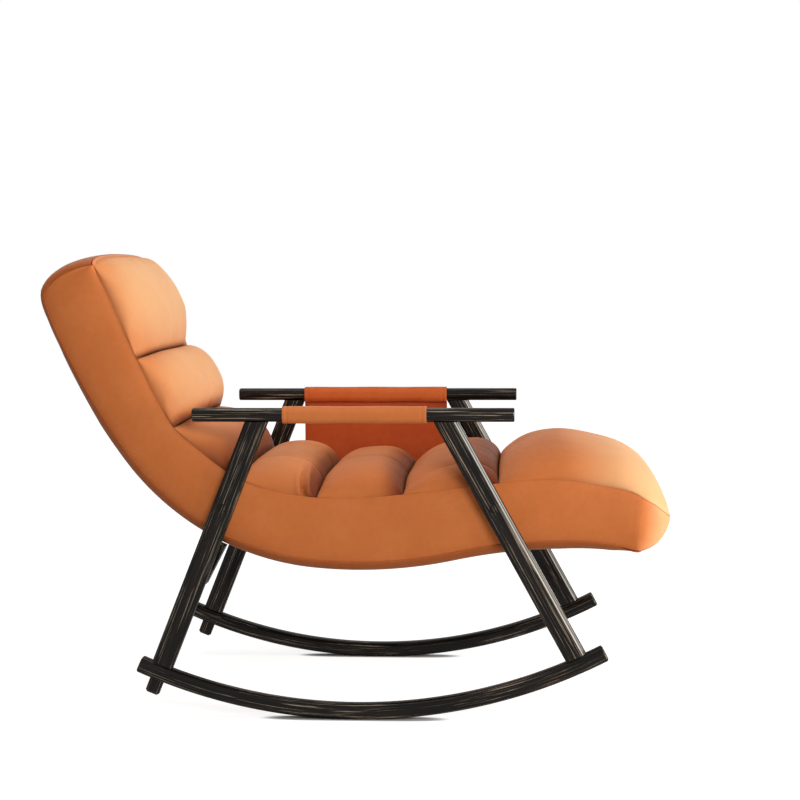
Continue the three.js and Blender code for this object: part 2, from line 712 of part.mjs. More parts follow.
function seatFixing(sideName, side, placeName) {
  const centre = boltCentres[placeName];
  const name = `${placeName}_${sideName}`;
  const legOuter = frameSpacing / 2 + legThickness / 2;
  const headSeat = legOuter - capPocketDepth;
  const nutOuter = plateInner - seatGap;
  const nutInner = nutOuter - nutPlateThickness;
  const depths = (profile) => profile.map(([r, depth]) => [r, side * depth]);
  addPiece(`seat_bolt_${name}`, turned(centre, depths([
    [0, nutInner - boltTail], [boltRadius, nutInner - boltTail], [boltRadius, headSeat + seatGap],
    [boltHeadRadius, headSeat + seatGap], [boltHeadRadius, headSeat + boltHeadLength],
    [0, headSeat + boltHeadLength],
  ])), steel);
  const capFace = legOuter + capProud;
  addPiece(`bolt_cap_${name}`, turned(centre, depths([
    [0, capFace - capThickness], [capRadius, capFace - capThickness], [capRadius, capFace - capRimWidth / 2],
    [capRadius - capRimWidth / 2, capFace], [capRadius - capRimWidth, capFace],
    [capRadius - 2 * capRimWidth, capFace - capRimWidth / 2], [0, capFace - capRimWidth / 2],
  ])), darkWood);
  addPiece(`seat_spacer_${name}`, turned(centre, depths([
    [boltRadius + boltPlay, plateOuter + seatGap], [boltRadius + boltPlay + spacerWall, plateOuter + seatGap],
    [boltRadius + boltPlay + spacerWall, seatSide - seatGap], [boltRadius + boltPlay, seatSide - seatGap],
    [boltRadius + boltPlay, plateOuter + seatGap],
  ])), steel);
  const plate = new THREE.BoxGeometry(nutPlateSize, nutPlateThickness, nutPlateSize)
    .translate(centre.x, side * (nutOuter + nutInner) / 2, centre.z);
  addPiece(`nut_plate_${name}`, cut(plate, [pin(centre, boltRadius + boltPlay, 0, side * seatSide)]), steel);
}

// Corbel under the seat, against the inner face of each rear leg
function corbel(sideName, side) {
  const legFront = (height) => rearLine.at(height).x + legWidth / 2 / rearLine.up.z;
  const legBack = (height) => rearLine.at(height).x - legWidth / 2 / rearLine.up.z;
  const topHeight = boltCentres.rear.z - boxingHeight * corbelTopShare;
  const lowHeight = topHeight - corbelDrop;
  const backHeight = lowHeight + corbelDrop * corbelBackShare;
  const outline = new THREE.Shape([
    new THREE.Vector2(legFront(lowHeight), lowHeight),
    new THREE.Vector2(legFront(topHeight) + corbelReach, topHeight),
    new THREE.Vector2(legBack(topHeight), topHeight),
    new THREE.Vector2(legBack(backHeight), backHeight),
  ]);
  const block = outward(new THREE.ExtrudeGeometry(outline, { depth: corbelDepth, bevelEnabled: false })
    .rotateX(Math.PI / 2).translate(0, side * (seatSide - seatGap - corbelDepth / 2) + corbelDepth / 2, 0));
  const seatZone = seatLoft(stationsBetween(0, seatLength),
    () => boxSection(seatSide, -seatGap, boxingHeight));
  addPiece(`corbel_${sideName}`, cut(block, [seatZone]), darkWood);
}

// Leather on the arms

function armSleeve(sideName, side, rear, front) {
  const middle = railUnderside + railHeight / 2;
  const between = (grow, round, ends) => bar(
    new THREE.Vector3(-rear - ends, 0, middle), new THREE.Vector3(front + ends, 0, middle),
    railHeight + 2 * grow, railWidth + 2 * grow, round);
  const sleeve = addPiece(`arm_sleeve_${sideName}`, cut(between(sleeveWall, railRound + sleeveWall, 0),
    [between(seatGap, railRound, cutOverrun)]), leather);
  sleeve.position.y = side * frameSpacing / 2;
}

// Panel and pouch that hang from the left sleeve and swing on the fold above the panel
function pocket() {
  const fold = pocketThickness / 2;
  const hinge = railUnderside - sleeveWall - seatGap - fold;
  const rear = -leftSleeveRear + pocketSideInset;
  const front = leftSleeveFront - pocketSideInset;
  const hanging = new THREE.Group();
  hanging.position.set(0, frameSpacing / 2, hinge);
  chair.add(hanging);

  const outline = (inset, top, bottom) => {
    const shape = new THREE.Shape();
    const corner = pocketCorner - inset;
    shape.moveTo(rear + inset, top);
    shape.lineTo(rear + inset, bottom + corner);
    shape.absarc(rear + inset + corner, bottom + corner, corner, Math.PI, 1.5 * Math.PI, false);
    shape.absarc(front - inset - corner, bottom + corner, corner, 1.5 * Math.PI, 2 * Math.PI, false);
    shape.lineTo(front - inset, top);
    return shape;
  };
  const sheet = (inset, top, bottom, depth, near) => outward(new THREE.ExtrudeGeometry(
    outline(inset, top, bottom), { depth, bevelEnabled: false, curveSegments: pocketCornerSteps })
    .rotateX(Math.PI / 2).translate(0, near + depth, 0));
  const bead = new THREE.CylinderGeometry(fold, fold, front - rear, holeSides / 2)
    .rotateZ(Math.PI / 2).translate((front + rear) / 2, 0, 0);
  addPiece('pocket_panel', join(sheet(0, 0, -pocketDrop, pocketThickness, -fold), bead), leather, hanging);

  const pouchNear = fold + seatGap;
  const pouchBottom = -pocketDrop + pouchInset;
  addPiece('pocket_pouch', cut(sheet(pouchInset, -pouchDrop, pouchBottom, pouchDepth, pouchNear), [
    sheet(pouchInset + pouchWall, -pouchDrop + cutOverrun, pouchBottom + pouchWall,
      pouchDepth - pouchWall + cutOverrun / 2, pouchNear - cutOverrun / 2),
  ]), leather, hanging);
}

for (const [sideName, side] of [['right', -1], ['left', 1]]) {
  sideFrame(sideName, side);
  corbel(sideName, side);
  sidePlate(sideName, side);
  welt(sideName, side);
  for (const placeName of Object.keys(boltCentres)) seatFixing(sideName, side, placeName);
}
armSleeve('right', -1, rightSleeveRear, rightSleeveFront);
armSleeve('left', 1, leftSleeveRear, leftSleeveFront);
pocket();
seatBody();
seatCover();
rolls.forEach(addRoll);
crossRails.forEach(addCrossRail);
strapSpans.forEach(addStrap);

// The facet at the lowest point stands on the floor
const contactReach = rockerRadius * Math.sin(radians(contactAngle / 2));
chair.position.set(contactForward, 0, -roundedInset(rockerRadius, contactReach));

export default chair;
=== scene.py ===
from functools import partial
from math import cos, pi, radians, sin, sqrt
import bmesh
import bpy
import numpy as np
from mathutils import Matrix, Vector


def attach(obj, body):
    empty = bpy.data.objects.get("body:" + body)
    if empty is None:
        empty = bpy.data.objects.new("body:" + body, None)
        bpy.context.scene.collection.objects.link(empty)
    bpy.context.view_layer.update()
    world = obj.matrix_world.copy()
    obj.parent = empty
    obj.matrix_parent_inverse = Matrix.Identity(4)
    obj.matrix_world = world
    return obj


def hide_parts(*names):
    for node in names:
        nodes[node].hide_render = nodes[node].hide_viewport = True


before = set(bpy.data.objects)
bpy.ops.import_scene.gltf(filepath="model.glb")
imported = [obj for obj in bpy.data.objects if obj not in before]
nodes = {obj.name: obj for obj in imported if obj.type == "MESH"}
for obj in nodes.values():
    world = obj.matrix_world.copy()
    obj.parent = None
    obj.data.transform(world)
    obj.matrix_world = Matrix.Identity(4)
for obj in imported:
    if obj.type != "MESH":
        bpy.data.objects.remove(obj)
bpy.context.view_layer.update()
mm = 0.001                       # the shapes below are worked out in millimetres
print("frame loaded")


def addObject(name, data):
    added = bpy.data.objects.new(name, data)
    bpy.context.scene.collection.objects.link(added)
    return added


# Camera

photoView = {
    "place": (339.9, -3896.3, 870.7),
    "yaw": 3.916,                # degrees towards -X
    "down": 3.968,
    "roll": -0.284,
    "focal": 84.76,
    "sensor": 36,
}


def addCamera(view):
    yaw, down, roll = (radians(view[k]) for k in ("yaw", "down", "roll"))
    ahead = Vector((-sin(yaw) * cos(down), cos(yaw) * cos(down), -sin(down)))
    level = Vector((cos(yaw), sin(yaw), 0))
    upright = level.cross(ahead)
    across = level * cos(roll) + upright * sin(roll)
    up = upright * cos(roll) - level * sin(roll)
    lens = bpy.data.cameras.new("photoCamera")
    lens.lens = view["focal"]
    lens.sensor_width = view["sensor"]
    camera = addObject("photoCamera", lens)
    turn = Matrix((across, up, -ahead)).transposed().to_4x4()
    camera.matrix_world = Matrix.Translation(Vector(view["place"]) * mm) @ turn
    bpy.context.scene.camera = camera


addCamera(photoView)
print("camera set")


# Materials

def linear(red, green, blue):    # from display colour to linear light
    return tuple(c / 12.92 if c <= 0.04045 else ((c + 0.055) / 1.055) ** 2.4 for c in (red, green, blue)) + (1,)


leatherLook = {
    "body": (0.80, 0.452, 0.24),
    "light": (0.84, 0.495, 0.275),
    "deep": (0.76, 0.41, 0.20),
    "pale": (0.87, 0.665, 0.475),      # painted light, where the lamps fall on a crown or an end
    "dark": (0.38, 0.12, 0.045),       # painted shade in the creases and on the downward-facing cover and piping
    "roughness": 0.55,
    "gloss": 0.1,
    "pebble": 620,               # grain cells to the metre
    "relief": 0.16,
    "depth": 0.0004,
    "nap": 0.1,                  # warm bloom where the surface turns away
    "napTint": (1, 0.88, 0.7),
}
# darker, redder copies of the leather: painted shade for the far arm's sleeve, panel and pouch
paintedShadePocketLook = dict(leatherLook, body=(0.68, 0.285, 0.125), light=(0.71, 0.32, 0.15),
                  deep=(0.58, 0.22, 0.09), nap=0.15)
paintedShadeSleeveLook = dict(paintedShadePocketLook, body=(0.75, 0.36, 0.165), light=(0.78, 0.40, 0.195),
                      deep=(0.66, 0.29, 0.12))
woodLook = {
    "dark": (0.04, 0.035, 0.03),
    "brown": (0.14, 0.10, 0.075),
    "pale": (0.68, 0.61, 0.53),
    # painted highlight colour for the front legs' round edge
    "highlight": (0.95, 0.93, 0.90),
    "roughness": 0.45,
    "gloss": 0.04,
    "streaks": 0.85,
    "relief": 0.3,
    "depth": 0.0005,
    "lacquer": 0.05,
}
innerWoodLook = dict(woodLook, dark=(0.56, 0.43, 0.29), brown=(0.66, 0.52, 0.36),
                     pale=(0.76, 0.64, 0.47), highlight=(0.8, 0.7, 0.55), roughness=0.6,
                     streaks=0.6, lacquer=0)
metalLook = {"dark": (0.52, 0.51, 0.50), "light": (0.66, 0.65, 0.64), "roughness": (0.26, 0.42)}
webbingLook = {"dark": (0.10, 0.09, 0.08), "light": (0.24, 0.22, 0.20), "roughness": 0.85}


def feed(tree, socket, value):   # a constant, or another socket to link
    if isinstance(value, bpy.types.NodeSocket):
        tree.links.new(value, socket)
    else:
        socket.default_value = value


def feedAll(tree, node, **values):
    for key, value in values.items():
        feed(tree, node.inputs[key.replace("_", " ")], value)


def addNode(tree, kind, settings=None, **values):
    node = tree.nodes.new("ShaderNode" + kind)
    for key, value in (settings or {}).items():
        setattr(node, key, value)
    feedAll(tree, node, **values)
    return node


def mixColour(tree, factor, first, second):
    node = addNode(tree, "Mix", {"data_type": "RGBA"})
    for number, value in ((0, factor), (6, first), (7, second)):
        feed(tree, node.inputs[number], value)
    return node.outputs[2]


def ramp(tree, source, low, high, start=0.0, end=1.0):
    return addNode(tree, "MapRange", {"interpolation_type": "SMOOTHSTEP"}, Value=source, From_Min=low, From_Max=high,
                   To_Min=start, To_Max=end).outputs["Result"]


def arithmetic(operation, tree, first, second):
    node = addNode(tree, "Math", {"operation": operation})
    for socket, value in zip(node.inputs, (first, second)):
        feed(tree, socket, value)
    return node.outputs[0]


plus, minus, times, larger = (partial(arithmetic, operation)
                              for operation in ("ADD", "SUBTRACT", "MULTIPLY", "MAXIMUM"))


def objectPlace(tree):
    return addNode(tree, "TexCoord").outputs["Object"]


def attribute(tree, label, output):
    return addNode(tree, "Attribute", {"attribute_name": label}).outputs[output]


def noise(tree, place, scale, detail, **values):
    return addNode(tree, "TexNoise", Vector=place, Scale=scale, Detail=detail, **values).outputs["Fac"]


def addBump(tree, shader, height, strength, depth):
    bump = addNode(tree, "Bump", Height=height, Strength=strength, Distance=depth)
    feedAll(tree, shader, Normal=bump.outputs["Normal"])


def newGroup(name, inputs):      # gives a colour, a roughness and a height
    group = bpy.data.node_groups.new(name, "ShaderNodeTree")
    for kind, labels in inputs.items():
        for label in labels:
            group.interface.new_socket(label, in_out="INPUT", socket_type="NodeSocket" + kind)
    for label, kind in (("Color", "Color"), ("Roughness", "Float"), ("Height", "Float")):
        group.interface.new_socket(label, in_out="OUTPUT", socket_type="NodeSocket" + kind)
    return group, group.nodes.new("NodeGroupInput").outputs, group.nodes.new("NodeGroupOutput")


def layered(group, given, base, *layers):    # colours laid over a base one, each by its own share
    tone = given[base]
    for share, label in layers:
        tone = mixColour(group, share, tone, given[label])
    return tone


def makeLeatherGroup():
    group, given, result = newGroup("leatherGrain", {
        "Color": ("Body", "Light", "Deep", "Pale", "Dark"),
        "Float": ("Roughness", "Pebble", "Crown", "Fold"),
    })
    place = objectPlace(group)
    cloud = noise(group, place, 11, 4, Roughness=0.6)
    mottle = noise(group, place, 75, 3, Roughness=0.65)
    fine = noise(group, place, 2400, 2)
    cells = addNode(group, "TexVoronoi", {"feature": "DISTANCE_TO_EDGE"}, Vector=place, Scale=given["Pebble"])
    patches = ramp(group, cloud, 0.38, 0.66)
    spots = ramp(group, mottle, 0.4, 0.7, 0, 0.55)
    pits = ramp(group, cells.outputs["Distance"], 0.0, 0.14)
    # painted light: the crown share lightens the leather towards its pale colour
    paintedLight = times(group, given["Crown"], ramp(group, patches, 0, 1, 0.9, 1))
    # the fold share paints shade with the dark colour
    tone = layered(group, given, "Body", (times(group, patches, 0.5), "Light"), (times(group, spots, 0.45), "Deep"),
                   (times(group, minus(group, 1, pits), 0.25), "Deep"), (paintedLight, "Pale"), (given["Fold"], "Dark"))
    feedAll(group, result, Color=tone,
            Roughness=plus(group, given["Roughness"], times(group, minus(group, mottle, 0.5), 0.16)),
            Height=plus(group, times(group, pits, 0.7), times(group, fine, 0.3)))
    return group


def makeWoodGroup():
    group, given, result = newGroup("woodGrain", {
        "Color": ("Dark", "Brown", "Pale", "Highlight"),
        "Float": ("Streaks", "Roughness", "Wear"),
        "Vector": ("Place",),
    })

    def grain(lengthwise, crosswise, detail, **values):
        drawn = addNode(group, "Mapping", Vector=given["Place"], Scale=(lengthwise, crosswise, crosswise))
        return noise(group, drawn.outputs["Vector"], 1, detail, **values)

    fibre = grain(6, 400, 5, Roughness=0.62, Distortion=0.4)
    bands = grain(3, 60, 3, Roughness=0.5, Distortion=0.8)
    slits = grain(30, 900, 2, Roughness=0.5)
    brownness = ramp(group, bands, 0.42, 0.66)
    lines = ramp(group, fibre, 0.55, 0.66)
    gate = ramp(group, bands, 0.36, 0.6, 0.45, 1)
    openPores = ramp(group, slits, 0.30, 0.44)
    # painted highlight along the legs' round edge, broken up by the fibre
    highlighted = times(group, given["Wear"], ramp(group, fibre, 0.3, 0.5, 0.7, 1))
    tone = layered(group, given, "Dark", (times(group, brownness, 0.6), "Brown"),
                   (times(group, times(group, lines, gate), given["Streaks"]), "Pale"),
                   (times(group, minus(group, 1, openPores), 0.6), "Dark"), (highlighted, "Highlight"))
    feedAll(group, result, Color=tone,
            Roughness=plus(group, given["Roughness"], times(group, lines, 0.12)),
            Height=plus(group, times(group, fibre, 0.6), times(group, openPores, 0.4)))
    return group


leatherGrain = makeLeatherGroup()
woodGrain = makeWoodGroup()


def newMaterial(name):
    material = bpy.data.materials.new(name)
    material.use_nodes = True
    return material, material.node_tree, material.node_tree.nodes["Principled BSDF"]


def fromGroup(name, group, look, **sockets):
    material, tree, shader = newMaterial(name)
    effect = addNode(tree, "Group", {"node_tree": group})
    for socket in effect.inputs:
        if socket.name.lower() in look:
            value = look[socket.name.lower()]
            socket.default_value = linear(*value) if isinstance(value, tuple) else value
    addBump(tree, shader, effect.outputs["Height"], look["relief"], look["depth"])
    feedAll(tree, shader, Base_Color=effect.outputs["Color"], Roughness=effect.outputs["Roughness"],
            Specular_IOR_Level=look["gloss"], **sockets)
    return material, tree, effect


def makeLeather(name, look):
    material, tree, effect = fromGroup(name, leatherGrain, look, Sheen_Weight=look["nap"], Sheen_Roughness=0.45,
                                       Sheen_Tint=linear(*look["napTint"]))
    # the crown share paints light and the fold share paints shade into the colour
    feedAll(tree, effect, Crown=attribute(tree, "crown", "Fac"), Fold=attribute(tree, "fold", "Fac"))
    return material              # both shares are 0 on pieces that don't give them


def makeWood(name, look, ownGrain):
    material, tree, effect = fromGroup(name, woodGrain, look, Coat_Weight=look["lacquer"], Coat_Roughness=0.18,
                                       Coat_IOR=2.2)
    if ownGrain:                 # the grain follows each bar, and the legs give their painted highlight share
        feedAll(tree, effect, Place=attribute(tree, "grainPlace", "Vector"), Wear=attribute(tree, "wear", "Fac"))
    else:
        feedAll(tree, effect, Place=objectPlace(tree))
    return material


def makeSteel():
    material, tree, shader = newMaterial("steel")
    brushed = noise(tree, objectPlace(tree), 900, 3)
    feedAll(tree, shader, Base_Color=mixColour(tree, brushed, *(linear(*metalLook[k]) for k in ("dark", "light"))),
            Roughness=ramp(tree, brushed, 0.3, 0.7, *metalLook["roughness"]), Metallic=1)
    return material


def makeWebbing():
    material, tree, shader = newMaterial("webbing")
    place = objectPlace(tree)
    threads = [addNode(tree, "TexWave", {"bands_direction": direction}, Vector=place, Scale=320, Distortion=0.6,
                       Detail=1).outputs["Fac"] for direction in ("X", "Y")]
    weave = larger(tree, *threads)
    addBump(tree, shader, weave, 0.4, 0.0006)
    feedAll(tree, shader, Base_Color=mixColour(tree, weave, *(linear(*webbingLook[k]) for k in ("dark", "light"))),
            Roughness=webbingLook["roughness"])
    return material


leather = makeLeather("leather", leatherLook)
paintedShadePocketLeather = makeLeather("paintedShadePocketLeather", paintedShadePocketLook)
paintedShadeSleeveLeather = makeLeather("paintedShadeSleeveLeather", paintedShadeSleeveLook)
darkWood = makeWood("darkWood", woodLook, True)
innerWood = makeWood("innerWood", innerWoodLook, False)
steel = makeSteel()
webbing = makeWebbing()
print("materials made")


# Mesh tools

def newPiece(name, points, faces, material, sharp=35, grain=None, closed=True, **shares):
    mesh = bpy.data.meshes.new(name)
    mesh.from_pydata((np.asarray(points) * mm).tolist(), [], faces)
    mesh.validate()
    mesh.update()
    mesh.shade_smooth()
    mesh.set_sharp_from_angle(angle=radians(sharp))
    mesh.materials.append(material)
    if grain is not None:
        given = mesh.attributes.new("grainPlace", "FLOAT_VECTOR", "POINT")
        given.data.foreach_set("vector", (np.asarray(grain) * mm).astype(np.float32).ravel())
    for label, values in shares.items():     # one value from 0 to 1, or one for every point
        given = mesh.attributes.new(label, "FLOAT", "POINT")
        spread = np.broadcast_to(np.ravel(values), len(points))
        given.data.foreach_set("value", np.ascontiguousarray(spread, np.float32))
    if closed:                               # all its faces turned outwards
        work = bmesh.new()
        work.from_mesh(mesh)
        bmesh.ops.recalc_face_normals(work, faces=work.faces)
        work.to_mesh(mesh)
        work.free()
    return addObject(name, mesh)


def gridFaces(rows, columns, wrap=False):
    return [(r * columns + c, r * columns + (c + 1) % columns,
             (r + 1) * columns + (c + 1) % columns, (r + 1) * columns + c)
            for r in range(rows - 1) for c in range(columns if wrap else columns - 1)]


def tubeFaces(rows, columns):    # rings joined into a closed solid
    ends = [tuple(range(columns - 1, -1, -1)), tuple(range((rows - 1) * columns, rows * columns))]
    return gridFaces(rows, columns, True) + ends


def domeFaces(rows, columns):    # a sheet closed from below between its edges
    below = [(r * columns, (r + 1) * columns, (r + 2) * columns - 1, (r + 1) * columns - 1) for r in range(rows - 1)]
    ends = [tuple(range(columns)), tuple(range(rows * columns - 1, (rows - 1) * columns - 1, -1))]
    return gridFaces(rows, columns) + below + ends


def newShell(name, first, second, material, **shares):     # two layers of points joined round their edges
    rows, columns = first.shape[:2]
    count = rows * columns
    faces = gridFaces(rows, columns)
    faces += [tuple(count + i for i in face[::-1]) for face in faces]
    sides = [(r * columns + c, (r + 1) * columns + c) for r in range(rows - 1) for c in (0, columns - 1)]
    sides += [(r * columns + c, r * columns + c + 1) for c in range(columns - 1) for r in (0, rows - 1)]
    faces += [(a, b, count + b, count + a) for a, b in sides]
    points = np.concatenate([first.reshape(-1, 3), second.reshape(-1, 3)])
    return newPiece(name, points, faces, material, 60, **shares)


def fit(piece, body, slotName, *replaced):
    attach(piece, body)
    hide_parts(*replaced)
    return piece


def along(values, at):           # smooth value at a fractional row number
    values = np.asarray(values, float)
    last = len(values) - 1
    at = np.clip(np.asarray(at, float), 0, last)
    low = np.clip(np.floor(at).astype(int), 0, last - 1)
    t = (at - low).reshape((-1,) + (1,) * (values.ndim - 1))
    before, here = values[np.maximum(low - 1, 0)], values[low]
    after, beyond = values[low + 1], values[np.minimum(low + 2, last)]
    return here + 0.5 * t * (after - before + t * (2 * before - 5 * here + 4 * after - beyond
                                                   + t * (3 * (here - after) + beyond - before)))


def lengthsAlong(points):
    return np.concatenate([[0], np.cumsum(np.linalg.norm(np.diff(points, axis=0), axis=1))])


def evenly(points, spacing):     # row numbers that lie a given distance apart along a line of points
    lengths = lengthsAlong(points)
    count = max(int(round(lengths[-1] / spacing)), 2)
    return np.interp(np.linspace(0, lengths[-1], count + 1), lengths, np.arange(len(points)))


def atRows(values, rows):        # straight value at fractional row numbers
    return np.interp(rows, np.arange(len(values)), values)


def roundAngles(count):
    return np.linspace(0, 2 * pi, count + 1)[:-1]


def fromEnds(count):
    return np.minimum(np.arange(count), np.arange(count)[::-1])


def fromEdges(rows, columns):
    return np.minimum(fromEnds(rows)[:, None], fromEnds(columns)[None])


def gridNormals(grid):
    normal = np.cross(np.gradient(grid, axis=1), np.gradient(grid, axis=0))
    return normal / np.maximum(np.linalg.norm(normal, axis=2, keepdims=True), 1e-9)


def smoothStep(value, low, high):
    t = np.clip((np.asarray(value, float) - low) / (high - low), 0, 1)
    return t * t * (3 - 2 * t)


def roundOff(share, power):      # from 1 down to 0, rounder with a higher power
    return (1 - share ** power) ** (1 / power)


def roundUp(share):              # a quarter circle from 0 up to 1
    return np.sqrt(np.maximum(1 - (1 - np.clip(share, 0, 1)) ** 2, 0))


# Seat: distance along its underside, across it, and up from it

seat = {
    "headPlace": (-614.5, 823.39),
    "headAngle": 73.4,
    "arcs": [(1050, 20), (525, 47.9), (900, 17.7), (-1110, -18.5)],
    "halfWidth": 277,
    "boxing": 142,
    "seam": [
        (-0.019, 0.86), (0.041, 0.93), (0.137, 0.935), (0.2, 0.89), (0.257, 0.852), (0.323, 0.9),
        (0.424, 0.91), (0.486, 0.965), (0.59, 1.005), (0.693, 1.03), (0.786, 0.975), (0.897, 0.954),
        (0.945, 0.885), (0.972, 0.845), (0.992, 0.787), (1.0125, 0.69), (1.039, 0.5)],
    "headStart": -25,            # the head end before it bows out
    "headBow": 23,
    "headReach": 90,             # how far from the end the bow begins
    "headPower": 2.6,
    "footTip": 1499.4,
    "footCorner": 65,
    "footReach": (-170, 60),
    "cornerPower": 1.7,          # below 2 the corner turns in quickly, then runs flat
}
seatLength = sum(radius * radians(turn) for radius, turn in seat["arcs"])


def seatCurve(distance):
    left = np.asarray(distance, float).copy()
    x, z = (np.full(left.shape, value) for value in seat["headPlace"])
    heading = np.full(left.shape, -radians(seat["headAngle"]))
    for radius, turn in seat["arcs"]:
        length = radius * radians(turn)
        middleX, middleZ = x - np.sin(heading) * radius, z + np.cos(heading) * radius
        heading = heading + np.clip(left, 0, length) / radius
        x, z = middleX + np.sin(heading) * radius, middleZ - np.cos(heading) * radius
        left = left - length
    past = np.where(distance < 0, distance, np.maximum(distance - seatLength, 0))
    return x + np.cos(heading) * past, z + np.sin(heading) * past, heading


def seatPlace(distance, across, up):
    distance, across, up = np.broadcast_arrays(np.asarray(distance, float), across, up)
    x, z, heading = seatCurve(distance)
    return np.stack([x - up * np.sin(heading), across + 0 * x, z + up * np.cos(heading)], axis=-1)


def seamHeight(distance):
    xs, ys = np.array(seat["seam"]).T
    at = np.asarray(distance, float) / seatLength
    low = np.clip(np.searchsorted(xs, at, side="left") - 1, 0, len(xs) - 2)
    before, after = np.maximum(np.arange(len(xs)) - 1, 0), np.minimum(np.arange(len(xs)) + 1, len(xs) - 1)
    slopes = (ys[after] - ys[before]) / (xs[after] - xs[before])
    span = xs[low + 1] - xs[low]
    t = np.clip((at - xs[low]) / span, 0, 1)
    value = (ys[low] * (2 * t ** 3 - 3 * t ** 2 + 1) + slopes[low] * span * (t ** 3 - 2 * t ** 2 + t)
             + ys[low + 1] * (3 * t ** 2 - 2 * t ** 3) + slopes[low + 1] * span * (t ** 3 - t ** 2))
    return seat["boxing"] * value


def headBow(across):             # how far the head end stands out, as a share
    return roundOff(np.clip(np.abs(across) / seat["halfWidth"], 0, 1), seat["headPower"])


def footBow(across, corner):     # plan of the foot end with its round corners
    into = np.clip((np.abs(across) - seat["halfWidth"] + corner) / corner, 0, 1)
    return corner * roundOff(into, seat["cornerPower"])


# Rolls

rollLook = {
    "crown": 68,
    "side": 2.7,                 # how full the roll's cross section is
    "creaseFloor": 14,
    "freeFloor": 3,
    "pinchFrom": 140,            # from the middle
    "cornerPinch": 0.25,
    "creasePinch": 0.75,
    "coarse": 7.5,               # cell of the cloth
    "fine": 3.4,                 # cell of the finished roll
    "besideSeam": (0.8, 1.5, 2.4, 3.6, 5),   # extra columns, and the gap to the even ones
    "seamClear": 6,
    "seamCuts": ((1.9, 2), (2.4, 13)),       # depth and width
    "foldSide": (120, 200),                  # where the folds begin, from the middle
    "foldPuff": 0.35,
    "tuck": (1.6, 0.5, 0.1, 0),              # at the edge and in the next rows
    "deflate": 0.955,            # the cloth starts this much lower and swells
    "frames": 20,
    "slack": 0.012,
    "smoothings": 9,
    "cap": 5,                    # most that the cloth may move a point
    "spread": 2.5,
    # painted crease shade: its reach behind each roll and its strength
    "creaseShadeBehind": 3,
    "creaseShadeStrength": 0.92,
}
clothSettings = {
    "quality": 5,
    "mass": 0.3,
    "tension_stiffness": 25,
    "compression_stiffness": 12,
    "shear_stiffness": 10,
    "bending_stiffness": 1.5,
    "use_pressure": True,
    "uniform_pressure_force": 4,
    "vertex_group_mass": "held",
    "shrink_min": -rollLook["slack"],
}
rolls = [    # pale: painted light at the seam and on the crown; fold: how far its painted crease shade reaches up the roll's front
    {"name": "head_roll", "share": (-0.027, 0.1387), "crown": 0.825, "peak": 0.59, "powers": (2.65, 1.35),
     "pale": (0.2, 1), "fold": 9},
    {"name": "upper_back_roll", "share": (0.1387, 0.2587), "crown": 0.955, "peak": 0.56, "powers": (2.3, 2.4),
     "pale": (0.12, 0.8), "fold": 14, "seams": [-5]},
    {"name": "lumbar_roll", "share": (0.2587, 0.4057), "crown": 0.89, "peak": 0.5, "powers": (1.7, 2.2),
     "pale": (0.1, 0.3), "fold": 120},
    {"name": "rear_seat_roll", "share": (0.4057, 0.5534), "crown": 1, "peak": 0.63, "powers": (2.25, 2.2),
     "pale": (0.05, 0.2), "fold": 38, "seams": [-160, 45]},
    {"name": "middle_seat_roll", "share": (0.5534, 0.6935), "crown": 0.94, "peak": 0.52, "powers": (2.5, 2.5),
     "pale": (0, 0.08), "fold": 38, "seams": [-80, 70]},
    {"name": "front_seat_roll", "share": (0.6935, 0.8225), "crown": 0.91, "peak": 0.7, "powers": (1.7, 2.7),
     "pale": (0, 0.08), "fold": 62, "seams": [-225, -40]},
    {"name": "calf_roll", "share": (0.8225, 1.036), "crown": 1.045, "peak": 0.4, "powers": (1.95, 2.1), "side": 2.3,
     "pale": (0, 1), "fold": 0, "paleOver": (0.3, 0.85)},
]
gap = 0.3                        # between pieces that would touch


def rollEnds(roll):
    return [share * seatLength for share in roll["share"]]


def rollHeight(roll, distance, across):      # height over the seam; the corners at both sides are drawn in
    start, end = rollEnds(roll)
    share = np.clip((distance - start) / (end - start), 0, 1)
    rear = share < roll["peak"]
    fromPeak = np.where(rear, 1 - share / roll["peak"], (share - roll["peak"]) / (1 - roll["peak"]))
    pinched = smoothStep(np.abs(across), rollLook["pinchFrom"], seat["halfWidth"])
    power = np.where(rear, *roll["powers"]) * (1 - rollLook["cornerPinch"] * pinched)
    swell = roundOff(np.clip(fromPeak, 0, 1), power)
    free = (rear & (roll is rolls[0])) | (~rear & (roll is rolls[-1]))
    floor = np.where(free, rollLook["freeFloor"], rollLook["creaseFloor"] * (1 - rollLook["creasePinch"] * pinched))
    return floor + (rollLook["crown"] * roll["crown"] - floor) * swell


def rollRows(roll, across):      # each row's distance along the seat, and how much farther out it bows
    start, end = rollEnds(roll)
    dense = np.linspace(0, 1, 400)
    if roll is rolls[0]:
        near = seat["headStart"] + (end - gap - seat["headStart"]) * dense
        bow = -seat["headBow"] * (1 - smoothStep(near - seat["headStart"], 0, seat["headReach"]))
        return near, bow, headBow(across)
    if roll is rolls[-1]:
        nearEnd = seat["footTip"] - seat["footCorner"]
        near = start + gap + (nearEnd - start - gap) * dense
        reach = [nearEnd + away for away in seat["footReach"]]
        bow = seat["footCorner"] * smoothStep(near, *reach) / smoothStep(nearEnd, *reach)
        return near, bow, footBow(across, seat["footCorner"]) / seat["footCorner"]
    near = start + gap + (end - start - 2 * gap) * dense
    return near, 0 * near, 0 * across


def acrossShares(power):
    angle = np.linspace(0, pi, 1201)
    share = np.sign(np.cos(angle)) * np.abs(np.cos(angle)) ** (2 / power)
    lift = np.abs(np.sin(angle)) ** (2 / power)
    at = evenly(np.stack([share * seat["halfWidth"], lift * rollLook["crown"]], axis=1), rollLook["coarse"])
    return atRows(share, at), atRows(lift, at)


